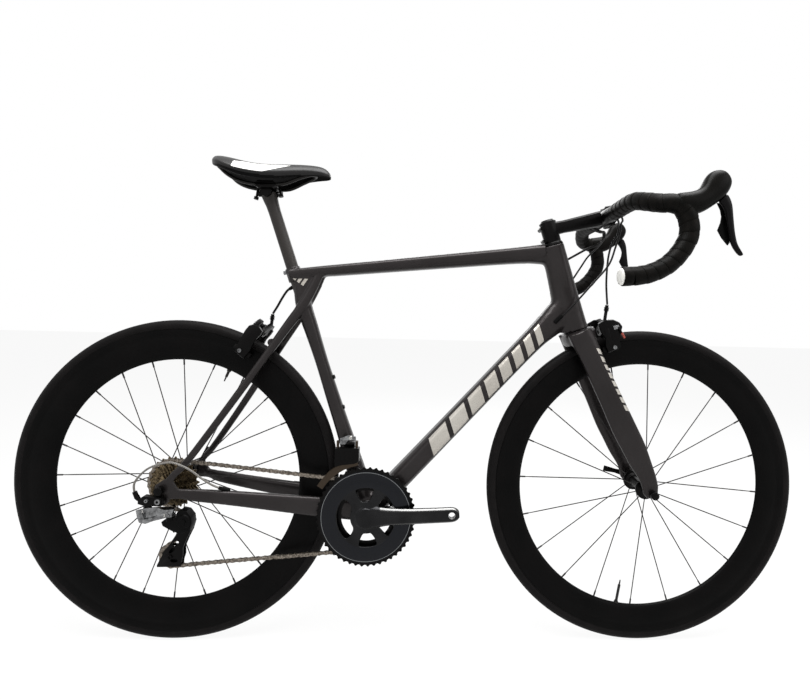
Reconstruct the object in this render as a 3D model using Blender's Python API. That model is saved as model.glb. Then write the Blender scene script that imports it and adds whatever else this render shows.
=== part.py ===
"""A road bicycle: drop handlebar, double chainset, rim brakes, deep wheels and no pedals.

X points forward, Y to the rider's left and Z up, in metres. The origin is on the ground, midway
between the axles. Each named object is one piece, parented to an empty on its joint's axis.
"""

import math

import bmesh
import bpy
from mathutils import Matrix, Vector

# Driving dimensions
WHEELBASE = 0.989
WHEEL_RADIUS = 0.3355
TYRE_RADIUS = 0.0125
FRONT_RIM_INNER = 0.2625
REAR_RIM_INNER = 0.2522
RIM_TOP = 0.3165
HEAD_ANGLE = math.radians(73.0)
SEAT_ANGLE = math.radians(71.2)
FORK_RAKE = 0.0415
FRONT_HUB_HALF = 0.0500
REAR_HUB_HALF = 0.0650
BOTTOM_BRACKET = Vector((-0.0937, 0.0, 0.2774))
SHELL_HALF = 0.0432
CRANK_LENGTH = 0.175
CRANK_TILT = math.radians(4.56)
BOTTLE_BOSS_SPACING = 0.064
PEDAL_FACE = 0.0734
SEATPOST_RADIUS = 0.0127
STEERER_RADIUS = 0.0143
BAR_RADIUS = 0.0119
WRAPPED_BAR_RADIUS = 0.0105
BAR_CLAMP_RADIUS = 0.0159
CHAIN_PITCH = 0.0127
OUTER_TEETH = 50
INNER_TEETH = 34
CASSETTE_TEETH = (25, 23, 21, 19, 17, 16, 15, 14, 13, 12, 11)
CASSETTE_PITCH = 0.00374
CHAIN_SPROCKET = 1
PULLEY_TEETH = 11
GAP = 0.0003

# Points and directions that follow from them
REAR_AXLE = Vector((-WHEELBASE / 2, 0.0, WHEEL_RADIUS))
FRONT_AXLE = Vector((WHEELBASE / 2, 0.0, WHEEL_RADIUS))
STEER_UP = Vector((-math.cos(HEAD_ANGLE), 0.0, math.sin(HEAD_ANGLE)))
STEER_FORWARD = Vector((math.sin(HEAD_ANGLE), 0.0, math.cos(HEAD_ANGLE)))
STEER_FOOT = FRONT_AXLE - STEER_FORWARD * FORK_RAKE
SEAT_UP = Vector((-math.cos(SEAT_ANGLE), 0.0, math.sin(SEAT_ANGLE)))
SIDE = Vector((0.0, 1.0, 0.0))
CRANK_FORWARD = Vector((math.cos(CRANK_TILT), 0.0, math.sin(CRANK_TILT)))

# Planes of the chain, across the bicycle
INNER_RING_Y = -0.0400
OUTER_RING_Y = -0.0470
LARGEST_SPROCKET_Y = -0.0225
CHAIN_Y = LARGEST_SPROCKET_Y - CASSETTE_PITCH * CHAIN_SPROCKET
TOOTH_TIP = 0.0026


def remove_everything():
    for item in list(bpy.data.objects):
        bpy.data.objects.remove(item, do_unlink=True)


remove_everything()


# Finishes


def surface(name, colour, roughness, metallic=0.0):
    """A Principled BSDF of one colour, in linear red, green and blue."""
    material = bpy.data.materials.new(name)
    material.use_nodes = True
    shader = material.node_tree.nodes["Principled BSDF"]
    shader.inputs["Base Color"].default_value = (*colour, 1.0)
    shader.inputs["Roughness"].default_value = roughness
    shader.inputs["Metallic"].default_value = metallic
    return material


FRAME_PAINT = surface("satin_anthracite_paint", (0.060, 0.055, 0.056), 0.38, 0.35)
CARBON = surface("matt_carbon", (0.020, 0.019, 0.019), 0.50)
RIM_CARBON = surface("satin_black_rim", (0.008, 0.008, 0.008), 0.35)
TYRE_RUBBER = surface("tyre_rubber", (0.011, 0.010, 0.010), 0.80)
HOOD_RUBBER = surface("hood_rubber", (0.016, 0.015, 0.014), 0.65)
BAR_TAPE = surface("bar_tape", (0.014, 0.013, 0.012), 0.55)
BLACK_ALLOY = surface("black_anodised_aluminium", (0.018, 0.018, 0.019), 0.35, 0.8)
GREY_ALLOY = surface("grey_polished_aluminium", (0.23, 0.24, 0.25), 0.25, 1.0)
CRANK_ALLOY = surface("dark_gunmetal_aluminium", (0.045, 0.050, 0.058), 0.25, 0.9)
STEEL = surface("brushed_steel", (0.40, 0.39, 0.37), 0.35, 1.0)
CASSETTE_STEEL = surface("golden_brown_steel", (0.20, 0.145, 0.085), 0.40, 1.0)
CHAIN_STEEL = surface("oiled_chain_steel", (0.19, 0.155, 0.125), 0.38, 1.0)
BLACK_HOUSING = surface("black_cable_housing", (0.015, 0.014, 0.014), 0.45)
GREY_HOUSING = surface("light_grey_cable_housing", (0.42, 0.43, 0.43), 0.40)
SADDLE_COVER = surface("black_saddle_cover", (0.013, 0.012, 0.012), 0.45)
BLACK_PLASTIC = surface("black_plastic", (0.012, 0.012, 0.013), 0.40)


# Mesh helpers


def polar(radius, degrees, y=0.0):
    """A point round the Y axis, with the angle turning from +X to +Z."""
    angle = math.radians(degrees)
    return Vector((radius * math.cos(angle), y, radius * math.sin(angle)))


def steer_point(up, forward=0.0, y=0.0):
    """A point by its place along and ahead of the steering axis."""
    return STEER_FOOT + STEER_UP * up + STEER_FORWARD * forward + SIDE * y


def oval(centre, wide, deep, count=12, power=2.0):
    """Points round a superellipse with the half axes wide and deep."""
    points = []
    for i in range(count):
        angle = math.tau * i / count
        c = math.cos(angle)
        s = math.sin(angle)
        a = math.copysign(abs(c) ** (2.0 / power), c)
        b = math.copysign(abs(s) ** (2.0 / power), s)
        points.append(centre + wide * a + deep * b)
    return points


def loft(rings, closed=False):
    """A skin through rings of equal counts, with flat ends, or joined end to end if closed."""
    mesh = bmesh.new()
    rows = [[mesh.verts.new(point) for point in ring] for ring in rings]
    pairs = list(zip(rows, rows[1:]))
    if closed:
        pairs.append((rows[-1], rows[0]))
    for row, following in pairs:
        for i in range(len(row)):
            j = (i + 1) % len(row)
            mesh.faces.new((row[i], row[j], following[j], following[i]))
    if not closed:
        mesh.faces.new(rows[0])
        mesh.faces.new(rows[-1])
    return mesh


def tube(stations, power=2.3, count=12, grow=0.0):
    """A tube through (x, y, z, half depth, half width), whose depth lies in the XZ plane."""
    centres = [Vector(station[:3]) for station in stations]
    centres[0] += (centres[0] - centres[1]).normalized() * grow
    centres[-1] += (centres[-1] - centres[-2]).normalized() * grow
    rings = []
    for i, station in enumerate(stations):
        along = (centres[min(i + 1, len(centres) - 1)] - centres[max(i - 1, 0)]).normalized()
        out = SIDE.cross(along).normalized()
        across = along.cross(out)
        rings.append(oval(centres[i], out * (station[3] + grow), across * (station[4] + grow), count, power))
    return loft(rings)


def edges_loft(stations, y, power=2.4, count=12):
    """A loft through (x, z of one edge, x, z of the other edge, half width)."""
    rings = []
    for ax, az, bx, bz, width in stations:
        a = Vector((ax, y, az))
        b = Vector((bx, y, bz))
        rings.append(oval((a + b) / 2, (a - b) / 2, SIDE * width, count, power))
    return loft(rings)


def rod(a, b, radius, sides=12, end_radius=None):
    """A round bar or cone between two points."""
    along = (b - a).normalized()
    wide = along.orthogonal().normalized()
    deep = along.cross(wide)
    last = radius if end_radius is None else end_radius
    return loft([oval(a, wide * radius, deep * radius, sides), oval(b, wide * last, deep * last, sides)])


def block(a, b, wide, deep):
    """A square bar from a to b with the half axes wide and deep."""
    corners = ((1, 1), (-1, 1), (-1, -1), (1, -1))
    return loft([[end + wide * p + deep * q for p, q in corners] for end in (a, b)])


def prism(outline, low, high):
    """An outline of (x, z) points drawn out along Y."""
    return loft([[Vector((x, y, z)) for x, z in outline] for y in (low, high)])


def turned(profile, centre=Vector(), steps=16, closed=False):
    """Spins a profile of (radius, y) points round the Y axis, with a corner at the bottom."""
    mesh = bmesh.new()
    points = [mesh.verts.new((0.0, y, -radius)) for radius, y in profile]
    edges = [mesh.edges.new(pair) for pair in zip(points, points[1:])]
    if closed:
        edges.append(mesh.edges.new((points[-1], points[0])))
    bmesh.ops.spin(
        mesh, geom=points + edges, cent=(0, 0, 0), axis=(0, 1, 0), angle=math.tau, steps=steps
    )
    bmesh.ops.remove_doubles(mesh, verts=mesh.verts, dist=1e-6)
    bmesh.ops.translate(mesh, verts=mesh.verts, vec=centre)
    return mesh


def drum(centre, radius, low, high, steps=16):
    """A cylinder round the Y axis."""
    return turned([(0.0, low), (radius, low), (radius, high), (0.0, high)], centre, steps)


def pipe(path, radii, count=8):
    """A round tube along a path, whose rings turn as little as they can."""
    along = (path[1] - path[0]).normalized()
    wide = along.orthogonal().normalized()
    rings = []
    for i, point in enumerate(path):
        ahead = (path[min(i + 1, len(path) - 1)] - path[max(i - 1, 0)]).normalized()
        wide = (wide - ahead * wide.dot(ahead)).normalized()
        rings.append(oval(point, wide * radii[i], ahead.cross(wide) * radii[i], count))
    return loft(rings)


def joined(*meshes):
    """Several closed shapes in one mesh, for use as one cutter or one addition."""
    whole = bmesh.new()
    for mesh in meshes:
        data = bpy.data.meshes.new("piece")
        mesh.to_mesh(data)
        mesh.free()
        whole.from_mesh(data)
        bpy.data.meshes.remove(data)
    return whole


def mirrored(mesh, side):
    """The mesh as drawn for the left side, or turned over for the right one."""
    if side < 0:
        bmesh.ops.scale(mesh, verts=mesh.verts, vec=(1.0, -1.0, 1.0))
    return mesh


def solid(name, mesh, material, sharp=35.0):
    """A named object, smooth but for the edges that turn more than sharp degrees."""
    bmesh.ops.remove_doubles(mesh, verts=mesh.verts, dist=1e-6)
    bmesh.ops.recalc_face_normals(mesh, faces=mesh.faces)
    data = bpy.data.meshes.new(name)
    mesh.to_mesh(data)
    mesh.free()
    data.shade_smooth()
    data.set_sharp_from_angle(angle=math.radians(sharp))
    if material:
        data.materials.append(material)
    piece = bpy.data.objects.new(name, data)
    bpy.context.scene.collection.objects.link(piece)
    return piece


def combine(piece, mesh, operation):
    """Adds the mesh to a piece, or cuts it out, with a hidden helper object."""
    helper = solid(f"{piece.name}_{operation.lower()}_{len(piece.modifiers)}", mesh, None)
    helper.hide_render = True
    helper.display_type = "WIRE"
    step = piece.modifiers.new(operation.title(), "BOOLEAN")
    step.operation = operation
    step.object = helper
    return piece


def fuse(piece, *meshes):
    for mesh in meshes:
        combine(piece, mesh, "UNION")
    return piece


def cut(piece, *meshes):
    for mesh in meshes:
        combine(piece, mesh, "DIFFERENCE")
    return piece


def body(name, place=Vector()):
    """An empty on a joint's axis, which carries the pieces that move together."""
    empty = bpy.data.objects.new(name, None)
    empty.location = place
    empty.empty_display_size = 0.03
    bpy.context.scene.collection.objects.link(empty)
    return empty


def ride(carrier, *pieces):
    for piece in pieces:
        piece.parent = carrier
        piece.matrix_parent_inverse = Matrix.Translation(-carrier.location)


def smooth_path(points, spacing):
    """Evenly spaced points along a Catmull-Rom curve through hand-chosen ones."""
    route = [Vector(point) for point in points]
    ends = [route[0] * 2 - route[1]] + route + [route[-1] * 2 - route[-2]]
    fine = []
    steps = 24
    for a, b, c, d in zip(ends, ends[1:], ends[2:], ends[3:]):
        for i in range(steps):
            t = i / steps
            fine.append(
                0.5 * (
                    2 * b + (c - a) * t + (2 * a - 5 * b + 4 * c - d) * t**2 + (3 * b - a - 3 * c + d) * t**3
                )
            )
    fine.append(route[-1])
    lengths = [0.0]
    for a, b in zip(fine, fine[1:]):
        lengths.append(lengths[-1] + (b - a).length)
    count = max(2, round(lengths[-1] / spacing))
    picked = []
    k = 0
    for i in range(count + 1):
        goal = lengths[-1] * i / count
        while k < len(fine) - 2 and lengths[k + 1] < goal:
            k += 1
        share = (goal - lengths[k]) / (lengths[k + 1] - lengths[k])
        picked.append(fine[k].lerp(fine[k + 1], share))
    return picked


def cord(name, points, diameter, material):
    """A cable housing: a curve with a round bevel along its route."""
    path = smooth_path(points, diameter * 3.0)
    data = bpy.data.curves.new(name, "CURVE")
    data.dimensions = "3D"
    data.bevel_depth = diameter / 2
    data.bevel_resolution = 2
    data.use_fill_caps = True
    spline = data.splines.new("POLY")
    spline.points.add(len(path) - 1)
    for place, point in zip(spline.points, path):
        place.co = (*point, 1.0)
    data.materials.append(material)
    piece = bpy.data.objects.new(name, data)
    bpy.context.scene.collection.objects.link(piece)
    return piece


# Bodies that move, one for each joint

CAGE_PIVOT = Vector((-0.4610, -0.050, 0.2640))
LINK_TOP = Vector((-0.5165, -0.0780, 0.2925))
LINK_FOOT = Vector((-0.4800, -0.0560, 0.2870))
GUIDE_PULLEY = Vector((-0.4740, CHAIN_Y, 0.2520))
TENSION_PULLEY = Vector((-0.4923, CHAIN_Y, 0.1854))
CHANGER_PIVOT = Vector((-0.1370, -0.0400, 0.4250))
LEVER_PIVOT = Vector((0.5300, 0.2150, 0.9130))
PADDLE_PIVOT = Vector((0.5270, 0.2085, 0.8990))
FRONT_BRAKE = steer_point(0.345, 0.030)
REAR_BRAKE = Vector((-0.3120, 0.0, 0.6375))

frame_body = body("frame")
steering = body("steering", STEER_FOOT)
front_wheel = body("front_wheel", FRONT_AXLE)
rear_wheel = body("rear_wheel", REAR_AXLE)
cassette_body = body("cassette_carrier", REAR_AXLE)
crankset = body("crankset", BOTTOM_BRACKET)
mech_link = body("rear_derailleur_swing", LINK_TOP)
mech_lower = body("rear_derailleur_knuckle_carrier", LINK_FOOT)
mech_cage = body("rear_derailleur_cage_carrier", CAGE_PIVOT)
guide_body = body("guide_pulley_carrier", GUIDE_PULLEY)
tension_body = body("tension_pulley_carrier", TENSION_PULLEY)
changer_body = body("front_derailleur_swing", CHANGER_PIVOT)
seatpost_body = body("seatpost_carrier", BOTTOM_BRACKET)


# Frame


def on_down_tube(along, out=0.0, y=0.0):
    """A point by its share of the way up the down tube and its distance below the axis."""
    return Vector((-0.18654 + 0.6787 * along + 0.7344 * out, y, 0.17239 + 0.7344 * along - 0.6787 * out))


def head_tube_shape(grow=0.0):
    """A deep head tube that follows the steering axis."""
    stations = (
        (0.3628, -0.0053, 0.0288, 0.0250),
        (0.4000, -0.0077, 0.0304, 0.0235),
        (0.4400, -0.0069, 0.0291, 0.0225),
        (0.5000, -0.0048, 0.0262, 0.0220),
        (0.5522, -0.0047, 0.0254, 0.0215),
    )
    rings = []
    for i, (up, forward, depth, width) in enumerate(stations):
        beyond = {0: -grow, len(stations) - 1: grow}.get(i, 0.0)
        centre = steer_point(up + beyond, forward)
        rings.append(oval(centre, STEER_FORWARD * (depth + grow), SIDE * (width + grow), 16, 2.2))
    return loft(rings)


def top_tube_shape(grow=0.0):
    stations = (
        (-0.276, 0.0, 0.77350, 0.0096, 0.0190),
        (-0.124, 0.0, 0.79065, 0.0122, 0.0190),
        (0.177, 0.0, 0.82415, 0.0160, 0.0205),
        (0.262, 0.0, 0.83240, 0.0205, 0.0210),
        (0.276, 0.0, 0.83360, 0.0205, 0.0210),
    )
    return tube(stations, 3.0, 12, grow)


def seat_axis(z, y=0.0):
    """The point at height z on the seat tube's axis."""
    return BOTTOM_BRACKET + SEAT_UP * ((z - BOTTOM_BRACKET.z) / SEAT_UP.z) + SIDE * y


def seat_lug_shape(grow=0.0):
    """The round collar at the rear of the top tube that holds the seatpost."""
    return rod(seat_axis(0.7630 - grow), seat_axis(0.7850 + grow), 0.0185 + grow, 16)


def seat_tube_shape(grow=0.0):
    stations = (
        (-0.1010, 0.0, 0.2965, 0.0200, 0.0260),
        (-0.1236, 0.0, 0.3629, 0.0190, 0.0210),
        (-0.1485, 0.0, 0.4376, 0.0155, 0.0175),
        (-0.1728, 0.0, 0.5073, 0.0141, 0.0160),
        (-0.2015, 0.0, 0.5920, 0.0127, 0.0150),
        (-0.2265, 0.0, 0.6650, 0.0150, 0.0160),
        (-0.2400, 0.0, 0.7000, 0.0170, 0.0165),
        (-0.2485, 0.0, 0.7235, 0.0180, 0.0168),
        (-0.2490, 0.0, 0.7450, 0.0225, 0.0170),
        (-0.2450, 0.0, 0.7600, 0.0300, 0.0172),
    )
    return tube(stations, 2.2, 12, grow)


def shell_shape(grow=0.0):
    return drum(BOTTOM_BRACKET, 0.0240 + grow, -SHELL_HALF - grow, SHELL_HALF + grow, 16)


def make_frame_tubes():
    head_tube = solid("head_tube", head_tube_shape(), FRAME_PAINT)
    cut(head_tube, rod(steer_point(0.35), steer_point(0.57), 0.0168, 16))

    top_tube = solid("top_tube", top_tube_shape(), FRAME_PAINT)
    fuse(top_tube, seat_lug_shape())
    cut(top_tube, rod(steer_point(0.5512), steer_point(0.6000), 0.0228, 16))
    cut(top_tube, head_tube_shape(GAP), rod(seat_axis(0.75), seat_axis(0.80), SEATPOST_RADIUS + 0.0006, 16))

    shell = solid("bottom_bracket_shell", shell_shape(), FRAME_PAINT)
    cut(shell, drum(BOTTOM_BRACKET, 0.0126, -0.05, 0.05, 24))

    seat_tube = solid("seat_tube", seat_tube_shape(), FRAME_PAINT)
    boss = Vector((-0.1511, 0.0, 0.4909))
    out = SIDE.cross(SEAT_UP).normalized()
    bosses = []
    for up in (0.0, BOTTLE_BOSS_SPACING):
        level = boss + SEAT_UP * up
        bosses.append(rod(level - out * 0.012, level + out * 0.0045, 0.006, 8))
    fuse(seat_tube, joined(*bosses))
    cut(
        seat_tube,
        shell_shape(GAP),
        top_tube_shape(GAP),
        seat_lug_shape(GAP),
        rod(seat_axis(0.655), seat_axis(0.80), SEATPOST_RADIUS + 0.0006, 16),
    )

    down_tube = solid("down_tube", down_tube_shape(), FRAME_PAINT)
    bosses = [rod(on_down_tube(s, -0.015), on_down_tube(s, -0.0262), 0.006, 8) for s in (0.361, 0.425)]
    fuse(down_tube, joined(*bosses))
    cut(down_tube, head_tube_shape(GAP), shell_shape(GAP), seat_tube_shape(GAP))
    ride(frame_body, head_tube, top_tube, shell, seat_tube, down_tube)


def down_tube_shape():
    stations = (
        (0.150, 0.0, 0.0225, 0.0300),
        (0.200, 0.0, 0.0220, 0.0290),
        (0.400, 0.0, 0.0216, 0.0270),
        (0.620, 0.0, 0.0222, 0.0240),
        (0.680, 0.0020, 0.0255, 0.0230),
        (0.715, 0.0045, 0.0310, 0.0220),
        (0.755, 0.0055, 0.0330, 0.0205),
    )
    placed = [(*on_down_tube(along, out), depth, width) for along, out, depth, width in stations]
    return tube(placed, 2.4, 16)


DROPOUT_INNER = REAR_HUB_HALF + GAP
DROPOUT_OUTER = 0.0715


def dropout_outline():
    """The plate round the rear axle, with room for the stays' ends."""
    x = REAR_AXLE.x
    z = REAR_AXLE.z
    return (
        (x + 0.030, z - 0.019),
        (x + 0.034, z + 0.001),
        (x + 0.030, z + 0.006),
        (x + 0.020, z + 0.022),
        (x + 0.006, z + 0.021),
        (x - 0.010, z + 0.010),
        (x - 0.013, z - 0.002),
        (x - 0.008, z - 0.012),
        (x + 0.008, z - 0.017),
    )


def chainstay_shape(side, grow=0.0):
    stations = (
        (-0.4700, 0.0675, 0.3275, 0.0095, 0.0040),
        (-0.4560, 0.0650, 0.3262, 0.0105, 0.0045),
        (-0.4300, 0.0585, 0.3219, 0.0123, 0.0065),
        (-0.3500, 0.0480, 0.3118, 0.0149, 0.0080),
        (-0.2500, 0.0385, 0.2992, 0.0182, 0.0085),
        (-0.1950, 0.0335, 0.2925, 0.0200, 0.0085),
        (-0.1650, 0.0270, 0.2885, 0.0210, 0.0080),
        (-0.1000, 0.0240, 0.2800, 0.0200, 0.0080),
    )
    return mirrored(tube(stations, 2.4, 12, grow), side)


def seatstay_shape(side):
    stations = (
        (-0.4845, 0.0680, 0.3480, 0.0065, 0.0035),
        (-0.4720, 0.0660, 0.3640, 0.0066, 0.0042),
        (-0.4502, 0.0600, 0.3889, 0.0068, 0.0055),
        (-0.4051, 0.0530, 0.4540, 0.0070, 0.0060),
        (-0.3560, 0.0430, 0.5280, 0.0075, 0.0062),
        (-0.3020, 0.0300, 0.6120, 0.0082, 0.0065),
        (-0.2740, 0.0250, 0.6560, 0.0092, 0.0070),
        (-0.2400, 0.0190, 0.7050, 0.0100, 0.0070),
    )
    return mirrored(tube(stations, 2.4, 12), side)


def dropout_shape(side, grow=0.0):
    centre = Vector((REAR_AXLE.x, REAR_AXLE.z))
    outline = []
    for point in dropout_outline():
        arm = Vector(point) - centre
        outline.append(centre + arm.normalized() * (arm.length + grow * 1.6))
    return mirrored(prism(outline, DROPOUT_INNER - grow, DROPOUT_OUTER + grow), side)


def make_stays():
    for side, name in ((1, "left"), (-1, "right")):
        chainstay = solid(f"chainstay_{name}", chainstay_shape(side), FRAME_PAINT)
        fuse(chainstay, dropout_shape(side))
        if side < 0:
            hanger = (
                (-0.5010, 0.3330),
                (-0.4790, 0.3330),
                (-0.4790, 0.3120),
                (-0.4850, 0.3060),
                (-0.4980, 0.3070),
            )
            fuse(chainstay, prism(hanger, -DROPOUT_OUTER - 0.0005, -DROPOUT_INNER - 0.0010))
        cut(chainstay, shell_shape(GAP), seat_tube_shape(GAP))
        cut(chainstay, drum(REAR_AXLE, 0.0052, -0.08, 0.08, 12))
        seatstay = solid(f"seatstay_{name}", seatstay_shape(side), FRAME_PAINT)
        cut(seatstay, seat_tube_shape(GAP), dropout_shape(side, GAP), chainstay_shape(side, GAP))
        if side > 0:
            add_brake_bridge(seatstay)
        ride(frame_body, chainstay, seatstay)


def add_brake_bridge(seatstay):
    """The tube between the seatstays, with the rear brake's bolt and pivot post."""
    middle = REAR_BRAKE - REAR_BRAKE_OUT * 0.0105
    down = REAR_BRAKE_DOWN * 0.008
    half = 0.0200
    out = REAR_BRAKE_OUT * 0.0095
    fuse(seatstay, block(middle - SIDE * half, middle + SIDE * (half + 0.006), down, out))
    fuse(seatstay, *brake_posts(*REAR_BRAKE_FRAME))


# Brakes, each with two arms on a bracket

REAR_BRAKE_OUT = Vector((-0.833, 0.0, 0.553))
REAR_BRAKE_DOWN = Vector((-0.553, 0.0, -0.833))
FRONT_BRAKE_OUT = STEER_FORWARD
FRONT_BRAKE_DOWN = -STEER_UP
FRONT_BRAKE_FRAME = (FRONT_BRAKE, FRONT_BRAKE_OUT, FRONT_BRAKE_DOWN, SIDE)
REAR_BRAKE_FRAME = (REAR_BRAKE, REAR_BRAKE_OUT, REAR_BRAKE_DOWN, -SIDE)
FRONT_REACH = 0.0370
REAR_REACH = 0.0502
SIDE_PIVOT = (0.022, -0.012)
ADJUSTER_SIDE = 0.0310
FRONT_ADJUSTER_TOP = (0.0365, -0.0535)
REAR_ADJUSTER_TOP = (0.0320, -0.0400)


def brake_posts(origin, out, down, across):
    """The centre bolt, the bracket and the side pivot that stay still."""
    side_post = origin + across * SIDE_PIVOT[0] + down * SIDE_PIVOT[1]
    bolt = rod(origin - out * 0.008, origin + out * 0.0305, 0.0042, 12)
    post = rod(side_post + out * 0.0080, side_post + out * 0.0350, 0.0036, 12)
    outline = (
        (-0.009, -0.003),
        (-0.004, -0.010),
        (0.018, -0.020),
        (0.028, -0.017),
        (0.028, -0.008),
        (0.006, 0.008),
        (-0.006, 0.008),
    )
    bracket = slab(outline, origin, down, out, across, 0.0070, 0.0135)
    return bolt, post, bracket


def slab(outline, origin, down, out, across, low, high):
    """An outline of (across, down) points drawn out along a brake's bolt."""
    rings = []
    for level in (low, high):
        rings.append([origin + across * w + down * h + out * level for w, h in outline])
    return loft(rings)


def brake_arm(name, origin, out, down, across, reach, adjuster_top, centred):
    """A brake arm with its shoe; the centred one turns on the bolt and holds the cable's adjuster."""
    if centred:
        outline = (
            (0.010, -0.004),
            (0.004, -0.011),
            (-0.014, -0.016),
            (-0.026, -0.021),
            (-0.036, -0.019),
            (-0.0395, -0.002),
            (-0.0390, 0.022),
            (-0.033, reach + 0.004),
            (-0.020, reach + 0.005),
            (-0.020, reach - 0.006),
            (-0.0285, 0.019),
            (-0.0265, 0.006),
            (-0.018, 0.003),
            (-0.006, 0.008),
            (0.006, 0.007),
        )
        low = 0.0140
        high = 0.0243
        pivot = origin
        hole = 0.0046
    else:
        outline = (
            (0.013, -0.019),
            (0.020, -0.026),
            (0.030, -0.022),
            (0.038, -0.004),
            (0.0385, 0.022),
            (0.033, reach + 0.004),
            (0.020, reach + 0.005),
            (0.020, reach - 0.006),
            (0.0285, 0.019),
            (0.026, 0.003),
            (0.016, -0.0062),
            (0.000, -0.0064),
            (-0.018, -0.0040),
            (-0.032, 0.0030),
            (-0.039, -0.0010),
            (-0.037, -0.0090),
            (-0.020, -0.0135),
            (0.000, -0.0165),
        )
        low = 0.0250
        high = 0.0345
        pivot = origin + across * SIDE_PIVOT[0] + down * SIDE_PIVOT[1]
        hole = 0.0040
    side = -1 if centred else 1
    arm = solid(name, slab(outline, origin, down, out, across, low, high), BLACK_ALLOY)
    shoe = origin + down * reach + across * side * 0.0182
    fuse(arm, block(shoe + out * 0.0060, shoe + out * 0.0460, SIDE * 0.0037, down * 0.0048))
    cut(arm, rod(pivot, pivot + out * 0.04, hole, 12))
    if centred:
        level = origin - across * ADJUSTER_SIDE
        foot = level + out * 0.0195 - down * 0.0160
        fuse(arm, rod(foot, level + out * adjuster_top[0] + down * adjuster_top[1], 0.0036, 8))
    return arm


def make_brakes():
    """Two arms at each end; the rear brake is the same unit turned round to face backwards."""
    for name, centred, origin, out, down, across, reach, top, parent in (
        ("front_brake_arm_right", True, *FRONT_BRAKE_FRAME, FRONT_REACH, FRONT_ADJUSTER_TOP, steering),
        ("front_brake_arm_left", False, *FRONT_BRAKE_FRAME, FRONT_REACH, FRONT_ADJUSTER_TOP, steering),
        ("rear_brake_arm_left", True, *REAR_BRAKE_FRAME, REAR_REACH, REAR_ADJUSTER_TOP, frame_body),
        ("rear_brake_arm_right", False, *REAR_BRAKE_FRAME, REAR_REACH, REAR_ADJUSTER_TOP, frame_body),
    ):
        arm = brake_arm(name, origin, out, down, across, reach, top, centred)
        pivot = origin if centred else origin + across * SIDE_PIVOT[0] + down * SIDE_PIVOT[1]
        carrier = body(f"{name}_carrier", pivot)
        ride(carrier, arm)
        ride(parent, carrier)


# Fork, headset, stem and handlebar


def fork_blade_shape(side):
    stations = (
        (0.3190, 0.6560, 0.3650, 0.6770, 0.0400, 0.0100),
        (0.3330, 0.6270, 0.3805, 0.6480, 0.0405, 0.0105),
        (0.3496, 0.5960, 0.3916, 0.6170, 0.0425, 0.0105),
        (0.3856, 0.5200, 0.4296, 0.5400, 0.0465, 0.0100),
        (0.4141, 0.4566, 0.4621, 0.4750, 0.0500, 0.0095),
        (0.4335, 0.4208, 0.4800, 0.4380, 0.0520, 0.0090),
        (0.4490, 0.3925, 0.4910, 0.4080, 0.0540, 0.0085),
        (0.4697, 0.3610, 0.5032, 0.3715, 0.0560, 0.0080),
        (0.4755, 0.3440, 0.5085, 0.3480, 0.0570, 0.0070),
        (0.4775, 0.3340, 0.5075, 0.3340, 0.0572, 0.0068),
        (0.4845, 0.3265, 0.5015, 0.3265, 0.0572, 0.0064),
    )
    rings = []
    for ax, az, bx, bz, y, width in stations:
        a = Vector((ax, y, az))
        b = Vector((bx, y, bz))
        rings.append(oval((a + b) / 2, (a - b) / 2, SIDE * width, 12, 2.5))
    return mirrored(loft(rings), side)


def make_fork():
    top = 0.3612
    clear = WHEEL_RADIUS + 0.0055
    arch = [FRONT_AXLE + polar(clear, degrees) for degrees in (108.5, 111.5, 114.5, 117.5, 120.5)]
    outline = [steer_point(top, -0.0300), steer_point(top, 0.0250), steer_point(top - 0.012, 0.0300)] + arch
    rings = [[point + SIDE * y for point in outline] for y in (-0.0440, 0.0440)]
    fork = solid("fork", loft(rings), FRAME_PAINT)
    fuse(fork, rod(steer_point(0.345), steer_point(0.6020), STEERER_RADIUS, 16))
    fuse(fork, fork_blade_shape(1), fork_blade_shape(-1))
    fuse(fork, *brake_posts(*FRONT_BRAKE_FRAME))
    corners = ((-0.0048, -0.04), (0.0048, -0.04), (0.0048, 0.0048), (-0.0048, 0.0048))
    slot = [(FRONT_AXLE.x + x, FRONT_AXLE.z + z) for x, z in corners]
    cut(fork, prism(slot, -0.07, 0.07))
    ride(steering, fork)


def steer_ring(name, profile, material):
    """A ring turned round the steering axis from (radius, height) points."""
    mesh = turned([(radius, up) for radius, up in profile], steps=16, closed=True)
    tilt = Matrix((STEER_FORWARD, STEER_UP, -SIDE)).transposed().to_4x4()
    bmesh.ops.transform(mesh, matrix=Matrix.Translation(STEER_FOOT) @ tilt, verts=mesh.verts)
    return solid(name, mesh, material)


STEM_LOW = 0.5600
STEM_HIGH = 0.6050
STEM_AIM = steer_point(0.5890)
BAR_CENTRE = Vector((0.4055, 0.0, 0.9160))
STEM_ALONG = (BAR_CENTRE - STEM_AIM).normalized()
STEM_UP = SIDE.cross(STEM_ALONG) * -1.0


def make_headset_cover():
    profile = ((0.0149, 0.5526), (0.0215, 0.5526), (0.0190, 0.5597), (0.0149, 0.5597))
    ride(steering, steer_ring("headset_cover", profile, BLACK_ALLOY))


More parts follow.
